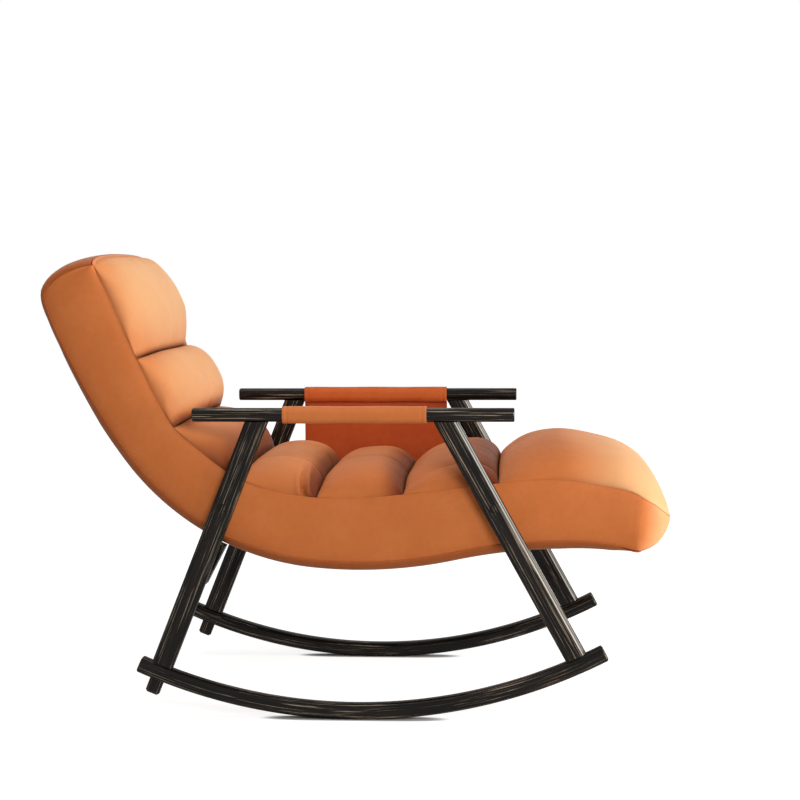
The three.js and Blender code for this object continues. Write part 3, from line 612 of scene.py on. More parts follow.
def rollGrid(roll):              # rows along the seat, columns from the left edge to the right one
    share, lift = acrossShares(roll.get("side", rollLook["side"]))
    across = share * seat["halfWidth"]
    near, bow, bowShare = rollRows(roll, across)
    middle = near + bow
    height = rollHeight(roll, middle, 0 * middle) * rollLook["deflate"]
    at = evenly(seatPlace(middle, 0, seamHeight(middle) + height), rollLook["coarse"])
    near, bow = atRows(near, at), atRows(bow, at)
    distance = near[:, None] + bow[:, None] * bowShare[None, :]
    height = rollHeight(roll, (near + bow)[:, None], across[None, :]) * rollLook["deflate"]
    base = seamHeight(distance) + gap
    return distance, np.broadcast_to(across, distance.shape), base + height * lift[None, :], base


def startCloth(roll):
    distance, across, up, base = rollGrid(roll)
    rows, columns = distance.shape
    grid = seatPlace(distance, across, up)
    piece = newPiece(roll["name"] + "_cloth", grid.reshape(-1, 3), domeFaces(rows, columns), leather)
    held = piece.vertex_groups.new(name="held")
    edge = fromEdges(rows, columns).ravel()
    for ring, weight in enumerate((1, 0.15)):
        held.add(np.flatnonzero(edge == ring).tolist(), weight, "REPLACE")
    cloth = piece.modifiers.new("cloth", "CLOTH").settings
    cloth.effector_weights.gravity = 0
    for key, value in clothSettings.items():
        setattr(cloth, key, value)
    return piece, (distance, across, up, base, grid)


def settledGrid(piece, start):   # the swollen cloth, held inside its own space
    distance, across, up, base, grid = start
    evaluated = piece.evaluated_get(bpy.context.evaluated_depsgraph_get())
    moved = np.zeros(len(evaluated.data.vertices) * 3)
    evaluated.data.vertices.foreach_get("co", moved)
    move = moved.reshape(grid.shape) / mm - grid
    for _ in range(rollLook["smoothings"]):              # takes out the finest wrinkles
        move[1:-1] = (move[:-2] + 2 * move[1:-1] + move[2:]) / 4
        move[:, 1:-1] = (move[:, :-2] + 2 * move[:, 1:-1] + move[:, 2:]) / 4
    size = np.maximum(np.linalg.norm(move, axis=2, keepdims=True), 1e-6)
    move *= rollLook["cap"] * np.tanh(size / rollLook["cap"]) / size
    _, _, heading = seatCurve(distance)
    forward = move[..., 0] * np.cos(heading) + move[..., 2] * np.sin(heading)
    lifted = move[..., 2] * np.cos(heading) - move[..., 0] * np.sin(heading)
    low, high = distance[0], distance[-1]
    half = seat["halfWidth"] + rollLook["spread"]
    return (np.clip(distance + forward, np.minimum(low, high), np.maximum(low, high)),
            np.clip(across + move[..., 1], -half, half), np.maximum(up + lifted, base))


def fineGrid(fields, seams):     # finer rows and columns, with more of them beside the seams
    grid = seatPlace(*fields)
    rowAt = evenly(grid[:, grid.shape[1] // 2], rollLook["fine"])
    middleRow = grid[grid.shape[0] // 2]
    columnAt = evenly(middleRow, rollLook["fine"])
    beside = np.array(rollLook["besideSeam"])
    beside = np.concatenate([-beside, [0], beside]) / rollLook["coarse"]
    for seam in seams:
        centre = np.interp(-seam, -middleRow[:, 1], np.arange(len(middleRow)))
        away = np.abs(columnAt - centre) * rollLook["coarse"]
        columnAt = np.concatenate([columnAt[away > rollLook["seamClear"]], centre + beside])
    columnAt.sort()
    return [along(along(field, rowAt).T, columnAt).T for field in fields]


folds = {    # lines pressed into a roll's right end: points along the seat and up from it; width; depth
    "rear_seat_roll": [
        {"line": [(740, 196), (746, 178), (754, 161), (761, 146), (766, 139)], "width": 6, "depth": 7},
        {"line": [(768, 184), (777, 172), (786, 154), (793, 141)], "width": 6, "depth": 6.5},
    ],
    "upper_back_roll": [
        {"line": [(318, 152), (338, 145), (356, 139), (366, 134)], "width": 8, "depth": 6.5},
    ],
    "head_roll": [
        {"line": [(-14, 134), (-4, 143), (8, 151), (27, 158)], "width": 6, "depth": 3},
    ],
}


def pressedFold(fold, distance, across, up):
    line = np.array(fold["line"], float)
    nearest = np.full(distance.shape, 1e9)
    share = np.zeros(distance.shape)
    for i, (a, b) in enumerate(zip(line[:-1], line[1:])):
        span = b - a
        t = np.clip(((distance - a[0]) * span[0] + (up - a[1]) * span[1]) / (span @ span), 0, 1)
        away = np.hypot(distance - a[0] - t * span[0], up - a[1] - t * span[1])
        share = np.where(away < nearest, (i + t) / (len(line) - 1), share)
        nearest = np.minimum(nearest, away)
    fade = np.sin(np.clip(share, 0.04, 0.96) * pi) ** 0.5 * smoothStep(-across, *rollLook["foldSide"])
    width = fold["width"]
    puffed = rollLook["foldPuff"] * np.exp(-((nearest - 2 * width) / width) ** 2)    # beside the line
    return fold["depth"] * fade * (puffed - np.exp(-(nearest / width) ** 2))


def finishRoll(roll, fields):
    seams = roll.get("seams", [])
    distance, across, up = fields = fineGrid(fields, seams)
    rows, columns = distance.shape
    grid = seatPlace(*fields)
    normal = gridNormals(grid)
    upwards = seatPlace(distance.mean(), 0, 200) - seatPlace(distance.mean(), 0, 0)
    if normal[rows // 2, columns // 2] @ upwards < 0:
        normal = -normal
    shift = np.zeros((rows, columns))
    fade = np.sin(np.linspace(0, 1, rows)[:, None] * pi) ** 0.3
    for seam in seams:
        away = np.abs(across - seam)
        shift -= sum(depth * np.exp(-(away / width) ** 2) for depth, width in rollLook["seamCuts"]) * fade
    for fold in folds.get(roll["name"], []):
        shift += pressedFold(fold, distance, across, up)
    edge = fromEdges(rows, columns)
    shift *= np.clip(edge / 2, 0, 1)
    shift -= np.array(rollLook["tuck"])[np.minimum(edge, 3)]
    grid = grid + normal * shift[..., None]
    start, end = rollEnds(roll)
    lift = (up - seamHeight(distance)) / (rollLook["crown"] * roll["crown"])
    paintedLightAtSeam, paintedLightOnCrown = roll["pale"]
    crown = paintedLightAtSeam + (paintedLightOnCrown - paintedLightAtSeam) * smoothStep(lift, 0, 1)
    if "paleOver" in roll:       # painted light only towards the free end
        crown = paintedLightOnCrown * smoothStep((distance - start) / (end - start), *roll["paleOver"])
    # painted shade in the creases, darkest where the roll meets its neighbours
    dark = 0 * lift
    for away, reach, free in ((end - distance, roll["fold"], roll is rolls[-1]),
                              (distance - start, rollLook["creaseShadeBehind"], roll is rolls[0])):
        if not free:
            dark = np.maximum(dark, np.exp(-(np.maximum(away, 0) / reach) ** 2) * rollLook["creaseShadeStrength"])
    piece = newPiece("rolled_" + roll["name"], grid.reshape(-1, 3), domeFaces(rows, columns), leather, 50,
                     crown=crown * (1 - dark), fold=dark)
    fit(piece, "frame", "leather", roll["name"])


def makeRolls():
    started = [(roll, *startCloth(roll)) for roll in rolls]
    scene = bpy.context.scene
    scene.frame_end = max(scene.frame_end, rollLook["frames"])
    for number in range(rollLook["frames"]):
        scene.frame_set(number + 1)
    settled = [(roll, settledGrid(piece, start)) for roll, piece, start in started]
    for _, piece, _ in started:
        bpy.data.objects.remove(piece)
    scene.frame_set(1)
    for roll, fields in settled:
        finishRoll(roll, fields)


makeRolls()
print("rolls made")


# Outline of the side panels: the seam between them and the back and underside cover

panelEdge = [
    (-25, 119), (-28.2, 95), (-27.5, 66), (-22.5, 44), (-16.8, 30.5), (-9, 20), (0, 13.5), (14, 10), (32, 9),
    (60, 9.6), (100, 11.5), (150, 14), (220, 16.5), (300, 17.7), (420, 18), (700, 18), (1000, 18), (1250, 17.5),
    (1330, 16), (1385, 12.5), (1422, 8), (1451, 2.2),
]


def outline(spacing):
    points = np.array(panelEdge, float)
    dense = along(points, np.linspace(0, len(points) - 1, 900))
    return along(dense, evenly(dense, spacing))


def outwardsFrom(edge):          # at right angles to the outline, away from the seat
    tangent = np.gradient(edge, axis=0)
    tangent /= np.linalg.norm(tangent, axis=1, keepdims=True)
    return np.stack([tangent[:, 1], -tangent[:, 0]], axis=1)


coverLook = {
    "rows": 7,                   # spacing
    "columns": 6,
    "cross": (18, 0.25),         # line along which the columns are spaced: height, power
    "headAt": [0, 60, 110, 135, 165, 220, 300, 400],         # along the outline from the head end
    "headDepths": [24, 25, 23.5, 20, 14.5, 11, 13, 16.5],
    "footAt": [-160, -60, 0],                                # and from the foot end
    "footDepths": [17.5, 13, 2.6],
    "bowed": (90, 260),          # the head end's bow fades out over this
    "rounding": 19,              # along both sides
    "roundPower": 1.45,
    "besideEdge": (0, 0.2, 0.8, 1.8, 3.2, 5, 7.5, 10.5, 14, 18, 23),
    "besideClear": 3,
    "overlap": 5,                # under the side panels
    "footCorner": 60,
    "footReach": 75,
    "footBack": 22,
    # fold: painted shade over the whole cover, which faces down
    "fold": 0.42,
}


def makeCover():
    edge = outline(coverLook["rows"])
    length = lengthsAlong(edge)
    depth = np.interp(length, coverLook["headAt"] + [length[-1] + at for at in coverLook["footAt"]],
                      coverLook["headDepths"] + coverLook["footDepths"])
    angle = np.linspace(0, pi, 121)
    half = seat["halfWidth"]
    across = half * np.cos(angle)
    height, power = coverLook["cross"]
    line = np.stack([across, height * np.abs(np.sin(angle)) ** power], axis=1)
    across = atRows(across, evenly(line, coverLook["columns"]))
    beside = half - np.array(coverLook["besideEdge"])
    across = across[np.abs(across) < beside[-1] - coverLook["besideClear"]]
    across = np.unique(np.round(np.concatenate([across, beside, -beside]), 3))
    rounding = coverLook["rounding"]
    flat = roundOff(np.clip((np.abs(across) - half + rounding) / rounding, 0, 1), coverLook["roundPower"])
    bowed = 1 - smoothStep(length, *coverLook["bowed"])[:, None]
    lift = bowed * headBow(across) + (1 - bowed) * flat
    outer = edge[:, None] + outwardsFrom(edge)[:, None] * (depth[:, None] * lift)[..., None]
    corner = 1 - footBow(across, coverLook["footCorner"]) / coverLook["footCorner"]
    nearFoot = smoothStep(length, length[-1] - coverLook["footReach"], length[-1])[:, None]
    back = -coverLook["footBack"] * corner * nearFoot
    inner = half - coverLook["overlap"]
    points = seatPlace(outer[..., 0] + back, across, outer[..., 1])
    under = seatPlace(edge[:, :1] + back, np.clip(across, -inner, inner), edge[:, 1:])
    # fold: painted shade on the downward-facing cover
    piece = newShell("back_cover", points, under, leather, fold=coverLook["fold"])
    fit(piece, "frame", "leather", "back_and_underside_cover")


# fold: painted shade along the piping in the downward-facing band
pipingLook = {"rows": 5, "leftOut": 3, "sides": 12, "radius": 1.4, "taperRows": 3, "thinnest": 0.1, "inset": 1.6,
              "turnsFrom": 1432, "fold": 0.3}


def makePiping():                # thin cord let into the seam between the cover and the side panels
    edge = outline(pipingLook["rows"])[:-pipingLook["leftOut"]]
    outwards = outwardsFrom(edge)
    angle = roundAngles(pipingLook["sides"])
    taper = np.sqrt(np.clip(fromEnds(len(edge)) / pipingLook["taperRows"], pipingLook["thinnest"], 1))
    thick = pipingLook["radius"] * taper[:, None]
    corner = seat["footCorner"]
    nearFoot = np.clip(edge[:, :1] - pipingLook["turnsFrom"], 0, corner)
    half = seat["halfWidth"] - pipingLook["inset"] - (corner - np.sqrt(corner ** 2 - nearFoot ** 2))
    spot = edge[:, None] - outwards[:, None] * (thick * np.sin(angle))[..., None]
    for sideName, side in (("right", -1), ("left", 1)):
        points = seatPlace(spot[..., 0], side * (half + thick * np.cos(angle)), spot[..., 1]).reshape(-1, 3)
        piece = newPiece("piping_" + sideName, points, tubeFaces(len(edge), len(angle)), leather, 60,
                         fold=pipingLook["fold"])
        fit(piece, "frame", "leather", "welt_" + sideName)


panelLook = {
    "levels": 17,                # points up each column
    "rounding": [3.2, 1.2, 0.4, 0.1] + [0] * 10 + [0.2, 0.7, 1.9],
    "bulge": (5.5, 0.9),         # size, power
    "ripples": [(0.12, 0.031, 0), (0.1, 0.013, 0.02)],       # size, turn for each mm along and up
    "cornerColumns": 14,
    "footColumns": 23,
    "fanColumns": 14,            # at the head they fan out from the round seam
    "fanLow": 118,
    "fanHigh": 45,
    "leanTo": 140,               # beyond this they stand upright
    "columns": 190,
    "footLow": 1.5,
    "noseFrom": 1446,            # the foot end reaches farther out higher up
    "noseHeight": 80,
    "pale": 0.7,                 # painted light round the foot end, and over this share of its corner
}


def makeBody():
    half, corner, tip = seat["halfWidth"], seat["footCorner"], seat["footTip"]
    levels, fanLow, fanHigh = (panelLook[k] for k in ("levels", "fanLow", "fanHigh"))
    dense = outline(1)
    share = np.linspace(0, 1, levels)
    rounding = np.array(panelLook["rounding"])
    size, power = panelLook["bulge"]
    bulge = size * np.sin(share * pi) ** power
    tops = np.linspace(seat["headStart"], fanHigh, panelLook["fanColumns"])
    ends = list(zip(along(dense, np.linspace(0, fanLow, len(tops))), tops))  # each column's low end and its top's place
    behind = fanHigh - ends[-1][0][0]
    for s in np.linspace(fanHigh, tip - corner, panelLook["columns"])[1:]:
        lowS = s - behind * (1 - smoothStep(s, fanHigh, panelLook["leanTo"]))
        ends.append(((lowS, np.interp(lowS, dense[fanLow:, 0], dense[fanLow:, 1])), s))
    near = []
    for (lowS, low), top in ends:
        s = lowS + (top - lowS) * share
        n = low + (float(seamHeight(top)) - low) * share
        ripple = sum(size * np.sin(s * forward + n * up) for size, forward, up in panelLook["ripples"])
        near.append(np.stack([s, half - rounding + bulge * (1 + ripple), n], axis=1))
    # painted light round the lit foot end, carried in the crown share
    pale = [0] * len(near)
    power = 2 / seat["cornerPower"]

    def shares(count):
        return np.linspace(0, 1, count + 1)[1:]

    plan = [(a, half - corner + corner * abs(cos(a)) ** power) for a in pi / 2 * shares(panelLook["cornerColumns"])]
    plan += [(pi / 2, (half - corner) * (1 - t)) for t in shares(panelLook["footColumns"])]
    lastLow = ends[-1][0][1]
    for angle, flatY in plan:    # round the corner, then across the foot end to its middle
        reach, outS, outY = abs(sin(angle)) ** power, sin(angle), cos(angle)
        low = lastLow + (panelLook["footLow"] - lastLow) * smoothStep(reach, 0, 1)
        n = low + (float(seamHeight(tip - corner + corner * reach)) - low) * share
        nose = panelLook["noseFrom"] + (tip - panelLook["noseFrom"]) * roundUp(n / panelLook["noseHeight"])
        s = nose - corner + corner * reach + (tip - nose) * (1 - reach) - rounding * outS
        near.append(np.stack([s, flatY + (bulge - rounding) * outY, n], axis=1))
        pale.append(panelLook["pale"] * float(smoothStep(angle / pi * 2, 0, panelLook["pale"])))
    near = np.array(near)
    strip = np.concatenate([near * (1, -1, 1), near[-2::-1]])                # from the right side round to the left
    count = len(strip)
    faces = gridFaces(count, levels)
    for i in range(count // 2):
        j = count - 1 - i
        across = (i, i + 1, j - 1, j) if j - 1 > i + 1 else (i, i + 1, j)
        faces += [tuple(k * levels + level for k in across) for level in (0, levels - 1)]
    last = (count - 1) * levels
    faces += [(level, level + 1, last + level + 1, last + level) for level in range(levels - 1)]
    # crown: painted light round the foot end
    piece = newPiece("side_panels", seatPlace(*np.moveaxis(strip, -1, 0)).reshape(-1, 3), faces, leather, 60,
                     crown=np.repeat(pale + pale[-2::-1], levels))
    fit(piece, "frame", "leather", "seat_body")


makeCover()
makePiping()
makeBody()
print("seat body made")


# Side frames

frameSide = {
    "middle": 300,               # from the middle of the chair
    "forward": 4,                # the rockers' lowest line
    "drop": 0.41,
    "rockerRadius": 1057.5,
    "rockerHeight": 31.5,
    "rockerWidth": 34,
    "rockerRound": 11,
    "rockerChamfer": 2.5,
    "rearOverhang": 39.5,
    "frontOverhang": 51,
    "legWidth": 42,
    "legThickness": 28,
    "legRounds": [(9, 8), (13.2, 7)],    # rear legs, front legs: front edge, back edge
    "highlightAt": [(31, 4), (53, 5)],        # painted highlight: two lines on the front legs' round edge: degrees, width
    "outerHighlight": (0.3, 0.75),            # the second painted highlight's strength at the foot and at the rail
    "rearLeg": (-187.7, 21.7),   # at the rail's underside, and its lean
    "frontLeg": (178, -28.7),
    "railUnderside": 579.5,
    "railHeight": 26,
    "railWidth": 34,
    "railRound": 9.5,
    "railChamfers": (1.6, 1.6),
    "railReach": (-312, 309),
    "stop": (28, 16, 4, (4, 1)),         # width, thickness, rounding, chamfers
    "stopDrop": 29,
    "stopInLeg": 62,
    "pegAbove": 43,
    "boltHeight": 412.5,
}
railMiddle = frameSide["railUnderside"] + frameSide["railHeight"] / 2
rockerTop = frameSide["rockerRadius"] - frameSide["rockerHeight"]
halfLeg = frameSide["legThickness"] / 2


def roundedSection(width, height, front, back=None, steps=5):      # the two edges at the back may be rounded less
    points = []
    for quarter in range(4):
        signX = 1 if quarter in (0, 3) else -1
        signY = 1 if quarter < 2 else -1
        radius = front if back is None or signX > 0 else back
        for step in range(steps + 1):
            angle = (quarter + step / steps) * pi / 2
            points.append((signX * (width / 2 - radius) + radius * cos(angle),
                           signY * (height / 2 - radius) + radius * sin(angle)))
    return np.array(points)


def legLine(leg):
    top, lean = leg
    up = np.array([sin(radians(lean)), cos(radians(lean))])
    return np.array([top, frameSide["railUnderside"]]), up


def crossways(up):
    return np.array([up[1], -up[0]])


def atHeight(leg, height):       # place on a leg's line
    top, up = legLine(leg)
    return top + up * (height - top[1]) / up[1]


def meetsArc(leg, radius, offset=0.0):       # place on a leg's line, moved sideways, where it meets the rocker's arc
    top, up = legLine(leg)
    start = top + crossways(up) * offset
    gapTo = start - np.array([0, frameSide["rockerRadius"]])
    half = gapTo @ -up
    return start - up * (-half + sqrt(half * half - gapTo @ gapTo + radius * radius))


rearFoot = meetsArc(frameSide["rearLeg"], rockerTop)
frontFoot = meetsArc(frameSide["frontLeg"], rockerTop)


def toChair(points, side):       # from a side frame's own plane to the chair
    points = np.asarray(points, float)
    return points + np.array([frameSide["forward"], side * frameSide["middle"], -frameSide["drop"]])


def sweepPiece(name, rings, grain, material, side, sharp=32, **shares):
    return newPiece(name, toChair(rings.reshape(-1, 3), side), tubeFaces(*rings.shape[:2]), material, sharp,
                    grain.reshape(-1, 3), **shares)


def swept(stops, width, height, rounding, place, steps=5):       # rings and their grain; stops: place, inset
    rings, grain = [], []
    for t, inset in stops:
        section = roundedSection(width - 2 * inset, height - 2 * inset, max(rounding - inset, 0.5), steps=steps)
        rings.append([place(t, u, v) for u, v in section])
        grain.append([(t, u, v) for u, v in section])
    return np.array(rings), np.array(grain)


def barRings(start, end, width, thickness, rounding, chamfers, steps=8):
    start, end = np.array(start, float), np.array(end, float)
    length = np.linalg.norm(end - start)
    x, z = (end - start) / length
    stops = [(0, chamfers[0]), *((t, 0) for t in np.linspace(chamfers[0], length - chamfers[1], steps)),
             (length, chamfers[1])]
    return swept(stops, width, thickness, rounding,
                 lambda t, u, v: (start[0] + x * t + z * u, v, start[1] + z * t - x * u))


def makeLeg(name, leg, side, seed):
    top, up = legLine(leg)
    inFront = leg is frameSide["frontLeg"]
    section = roundedSection(frameSide["legWidth"], frameSide["legThickness"], *frameSide["legRounds"][inFront], 12)
    u, v = section.T
    highs, lows = [], []
    for offset in u:
        start = top + crossways(up) * offset
        highs.append(start + up * ((frameSide["railUnderside"] - gap - start[1]) / up[1]))
        lows.append(meetsArc(leg, rockerTop - gap, offset))
    highs, lows = np.array(highs), np.array(lows)
    rings, grain = [], []
    shares = np.linspace(0, 1, 24)
    for share in shares:
        spot = lows + (highs - lows) * share
        rings.append(np.stack([spot[:, 0], v, spot[:, 1]], axis=1))
        grain.append(np.stack([(spot - top) @ up + seed * 977, u + seed * 53, v], axis=1))
    # painted highlight lines where the round front edge would reflect the lamps
    tilt = np.degrees(np.arctan2(u - frameSide["legWidth"] / 2 + frameSide["legRounds"][1][0], np.abs(v)))
    inner, outer = (np.exp(-((tilt - at) / width) ** 2) for at, width in frameSide["highlightAt"])
    wear = (inner + outer * np.interp(shares, [0, 1], frameSide["outerHighlight"])[:, None]) * inFront
    return sweepPiece(name, np.array(rings), np.array(grain), darkWood, side, wear=wear)


def makeRocker(name, side, seed):
    radius = frameSide["rockerRadius"] - frameSide["rockerHeight"] / 2
    rear = (-np.arcsin(abs(rearFoot[0]) / rockerTop) - frameSide["rearOverhang"] / rockerTop) * radius
    front = (np.arcsin(frontFoot[0] / rockerTop) + frameSide["frontOverhang"] / rockerTop) * radius
    ends = frameSide["rockerChamfer"]
    stops = [(rear - ends, ends), (rear - 0.6 * ends, 1), *((t, 0) for t in np.linspace(rear, front, 110)),
             (front + 0.6 * ends, 1), (front + ends, ends)]

    def place(t, u, v):
        return (radius - v) * sin(t / radius), u, frameSide["rockerRadius"] - (radius - v) * cos(t / radius)

    width, height, rounding = (frameSide[k] for k in ("rockerWidth", "rockerHeight", "rockerRound"))
    rings, grain = swept(stops, width, height, rounding, place, 6)
    rings[..., 2] = np.maximum(rings[..., 2], frameSide["drop"] + 0.01)      # flat where it stands
    return sweepPiece(name, rings, grain + np.array([seed * 811, seed * 37, 0]), darkWood, side)


def lathe(name, centre, profile, side, material, up=(1, 0), turns=40):       # profile: radius, distance outwards
    angles = roundAngles(turns)
    rings = np.array([[(centre[0] + r * cos(a), side * depth, centre[1] + r * sin(a)) for a in angles]
                      for r, depth in profile])
    x, y, z = np.moveaxis(rings - np.array([centre[0], 0, centre[1]]), -1, 0)
    grain = np.stack([x * up[0] + z * up[1], x * up[1] - z * up[0], y], axis=-1) + np.array([side * 41, 13, 7])
    return sweepPiece(name, rings, grain, material, side, 40)


capProfile = [(0.4, -3), (8.3, -3), (8.3, 0), (8.0, 0.55), (7.4, 0.8), (6.9, 0.7), (6.5, 0.1), (6.1, 0.1), (5.7, 0.65),
              (4.5, 0.78), (0.4, 0.85)]      # out from the leg's face
pegProfile = [(0.2, -halfLeg + 0.1), (2.4, -halfLeg + 0.15), (3, -halfLeg + 0.7), (3, halfLeg - 0.7),
              (2.4, halfLeg - 0.15), (0.2, halfLeg - 0.02)]


def makeCap(name, centre, side, up):
    return lathe(name, centre, [(radius, halfLeg + out) for radius, out in capProfile], side, darkWood, up)


corbelBlock = {"drop": 106, "reach": 13.5, "width": 30, "highInBody": 0.33, "backShare": 0.33, "under": (300, 900),
               "points": 12, "below": 0.4}


def makeCorbel(name, side):
    _, up = legLine(frameSide["rearLeg"])
    behind = frameSide["legWidth"] / 2 / up[1]
    high = frameSide["boltHeight"] - corbelBlock["highInBody"] * seat["boxing"]
    low = high - corbelBlock["drop"]
    backLow = low + corbelBlock["backShare"] * corbelBlock["drop"]
    onLow, onHigh, onBack = (atHeight(frameSide["rearLeg"], height) for height in (low, high, backLow))
    onLow[0] += behind
    onHigh[0] += behind + corbelBlock["reach"]
    onBack[0] -= behind
    place = seatPlace(np.linspace(*corbelBlock["under"], 1200), 0, -corbelBlock["below"])
    x, z = place[:, 0] - frameSide["forward"], place[:, 2] + frameSide["drop"]
    backX = onBack[0] + (z - backLow) * up[0] / up[1]
    slant = onLow[0] + (onHigh[0] - onLow[0]) * (z - low) / (high - low)
    underside = np.stack([x, z], axis=1)[(x > backX) & (x < slant)][::-1]
    underside = underside[np.linspace(0, len(underside) - 1, corbelBlock["points"]).astype(int)]
    polygon = np.array([onLow, *underside, onBack])
    middle = polygon.mean(0)
    width = corbelBlock["width"]
    rings, grain = [], []
    for depth, inset in ((0, 1), (1, 0), (width - 1, 0), (width, 1)):
        shrunk = middle + (polygon - middle) * (1 - inset / width)
        rings.append([(px, -side * (halfLeg + gap + depth), pz) for px, pz in shrunk])
        grain.append([(p @ up + side * 311, p @ crossways(up), depth) for p in shrunk])
    return sweepPiece(name, np.array(rings), np.array(grain), darkWood, side, 30)


def makeSideFrame(sideName, side):
    def fitWood(piece, stands):
        fit(piece, "frame", "dark_wood", f"{stands}_{sideName}")

    seed = 1 if side < 0 else 2      # moves the grain on, so that no two bars look the same
    fitWood(makeRocker("curved_rocker_" + sideName, side, seed), "rocker")
    for place, leg in (("rear", frameSide["rearLeg"]), ("front", frameSide["frontLeg"])):
        seed += 3
        fitWood(makeLeg(f"{place}_leg_bar_{sideName}", leg, side, seed), f"{place}_leg")
        cap = makeCap(f"{place}_cap_{sideName}", atHeight(leg, frameSide["boltHeight"]), side, legLine(leg)[1])
        fitWood(cap, f"bolt_cap_{place}")
    rear, front = frameSide["railReach"]
    rings, grain = barRings((rear, railMiddle), (front, railMiddle), frameSide["railHeight"], frameSide["railWidth"],
                            frameSide["railRound"], frameSide["railChamfers"], 30)
    grain += np.array([seed * 701, 31, 17])
    fitWood(sweepPiece("arm_rail_bar_" + sideName, rings, grain, darkWood, side), "arm_rail")
    _, up = legLine(frameSide["rearLeg"])
    lowEnd = meetsArc(frameSide["rearLeg"], frameSide["rockerRadius"]) - up * frameSide["stopDrop"]
    rings, grain = barRings(lowEnd, rearFoot + up * frameSide["stopInLeg"], *frameSide["stop"])
    grain[..., 0] += seed * 401
    fitWood(sweepPiece("stop_bar_" + sideName, rings, grain, darkWood, side), "tilt_stop")
    peg = lathe("stop_peg_" + sideName, rearFoot + up * frameSide["pegAbove"], pegProfile, side, steel, turns=24)
    fit(peg, "frame", "steel", "tilt_stop_peg_" + sideName)
    fitWood(makeCorbel("corbel_block_" + sideName, side), "corbel")


makeSideFrame("right", -1)
makeSideFrame("left", 1)
print("side frames made")


# Leather on the arms

armLeather = {
    "right": (-136.5, 141),
    "left": (-164.5, 153.5),
    "wall": 3.2,
    "hem": 9,                    # the stitched line, from each end
    "ends": (0, 0.5, 1.2, 2.2, 4, 7, 8.2, 9, 9.8, 11, 14),   # rings there
    "evenFrom": 18,
    "evenRings": 52,
    "edge": (1.2, 1.1),          # rounded end: reach, depth
    "groove": (0.9, 0.5),        # the stitches: width, depth
    "wave": (0.045, 30, 0.25),   # turn for each mm, fade at the ends, depth
    "clearance": 0.4,            # round the rail
}


def makeSleeve(sideName, side):
    rear, front = armLeather[sideName]
    length, wall, hem = front - rear, armLeather["wall"], armLeather["hem"]
    height, width, rounding = (frameSide[k] for k in ("railHeight", "railWidth", "railRound"))
    ends = np.array(armLeather["ends"])
    even = np.linspace(armLeather["evenFrom"], length - armLeather["evenFrom"], armLeather["evenRings"])
    steps = np.unique(np.concatenate([ends, even, length - ends]))
    (reach, depth), (broad, cut), (turn, fade, high) = (armLeather[k] for k in ("edge", "groove", "wave"))
    stops = []                   # the leather lies farther out than the rail, so the insets are negative
    for t, e in zip(steps, np.minimum(steps, length - steps)):
        grow = wall - depth * (1 - roundUp(e / reach)) - cut * np.exp(-((e - hem) / broad) ** 2)
        stops.append((rear + t, -grow - high * sin(t * turn + side) * min(e / fade, 1)))
    stops += [(x, -armLeather["clearance"]) for x in (front, rear)]          # back along the inside
    rings, _ = swept(stops, height, width, rounding, lambda x, u, v: (x, v, railMiddle + u), 8)
    rows, columns = rings.shape[:2]
    last = (rows - 1) * columns
    faces = gridFaces(rows, columns, True)
    faces += [(last + c, last + (c + 1) % columns, (c + 1) % columns, c) for c in range(columns)]
    piece = newPiece("leather_sleeve_" + sideName, toChair(rings.reshape(-1, 3), side), faces,
                     paintedShadeSleeveLeather if side > 0 else leather, 50)
    fit(piece, "frame", "leather", "arm_sleeve_" + sideName)


pocketSize = {
    "thickness": 3,
    "drop": 250,
    "corner": 35,
    "overhang": 0.5,             # past both ends of the sleeve
    "topRows": (0, 0.07, 0.27, 0.6),         # where the panel's top edge is rounded, in half thicknesses
    "panelGrid": (61, 75),
    "waves": [(1.1, 0.021, 0, 1), (0.7, 0.043, 0.012, 0)],   # size, turn for each mm along and up, start
    "edgeShare": 0.25,           # how thick the outermost edge stays
    "mouth": 72,
    "depth": 15,
    "pouchInset": 14,
    "pouchWall": 2.3,
    "pouchGrid": (45, 61),
    "pouchColumns": 0.85,        # power that bunches them towards the ends
    "lining": 0.992,
}
pocketTop = (0, 0, frameSide["railUnderside"] - armLeather["wall"] - gap - pocketSize["thickness"] / 2)


def roundCut(corner, into):      # how far a round corner is cut in from the side
    return corner - sqrt(max(corner ** 2 - max(0, into) ** 2, 0))


def makePanel():
    rear, front = armLeather["left"][0] - pocketSize["overhang"], armLeather["left"][1] + pocketSize["overhang"]
    width, drop, corner = front - rear, pocketSize["drop"], pocketSize["corner"]
    half = pocketSize["thickness"] / 2
    even, columns = pocketSize["panelGrid"]
    fromTop = np.concatenate([half * np.array(pocketSize["topRows"]), np.linspace(half, drop + half, even)])
    rows = len(fromTop)
    over = np.linspace(0, 1, columns)
    points = []
    for z, down in zip(half - fromTop, fromTop / (drop + half)):
        cut = roundCut(corner, corner - drop - z)
        x = rear + cut + (width - 2 * cut) * over
        wave = sum(size * np.sin(x * forward + z * up + start) for size, forward, up, start in pocketSize["waves"])
        points.append(np.stack([x, wave * down, np.full(columns, z)], axis=1))
    roundTop = roundUp(np.maximum(fromTop / half, 0.02))     # turns freely under the sleeve
    edge = np.minimum(fromEnds(columns), np.arange(rows)[::-1][:, None])
    least = pocketSize["edgeShare"]
    swell = np.minimum(roundUp(edge / 2) * (1 - least) + least, roundTop[:, None])
    thick = half * swell[..., None] * np.array([0, 1, 0])
    inner, outer = (toChair(np.array(points) + side * thick + pocketTop, 1) for side in (-1, 1))
    piece = newShell("hanging_panel", inner, outer, paintedShadePocketLeather)
    fit(piece, "pocket", "leather", "pocket_panel")


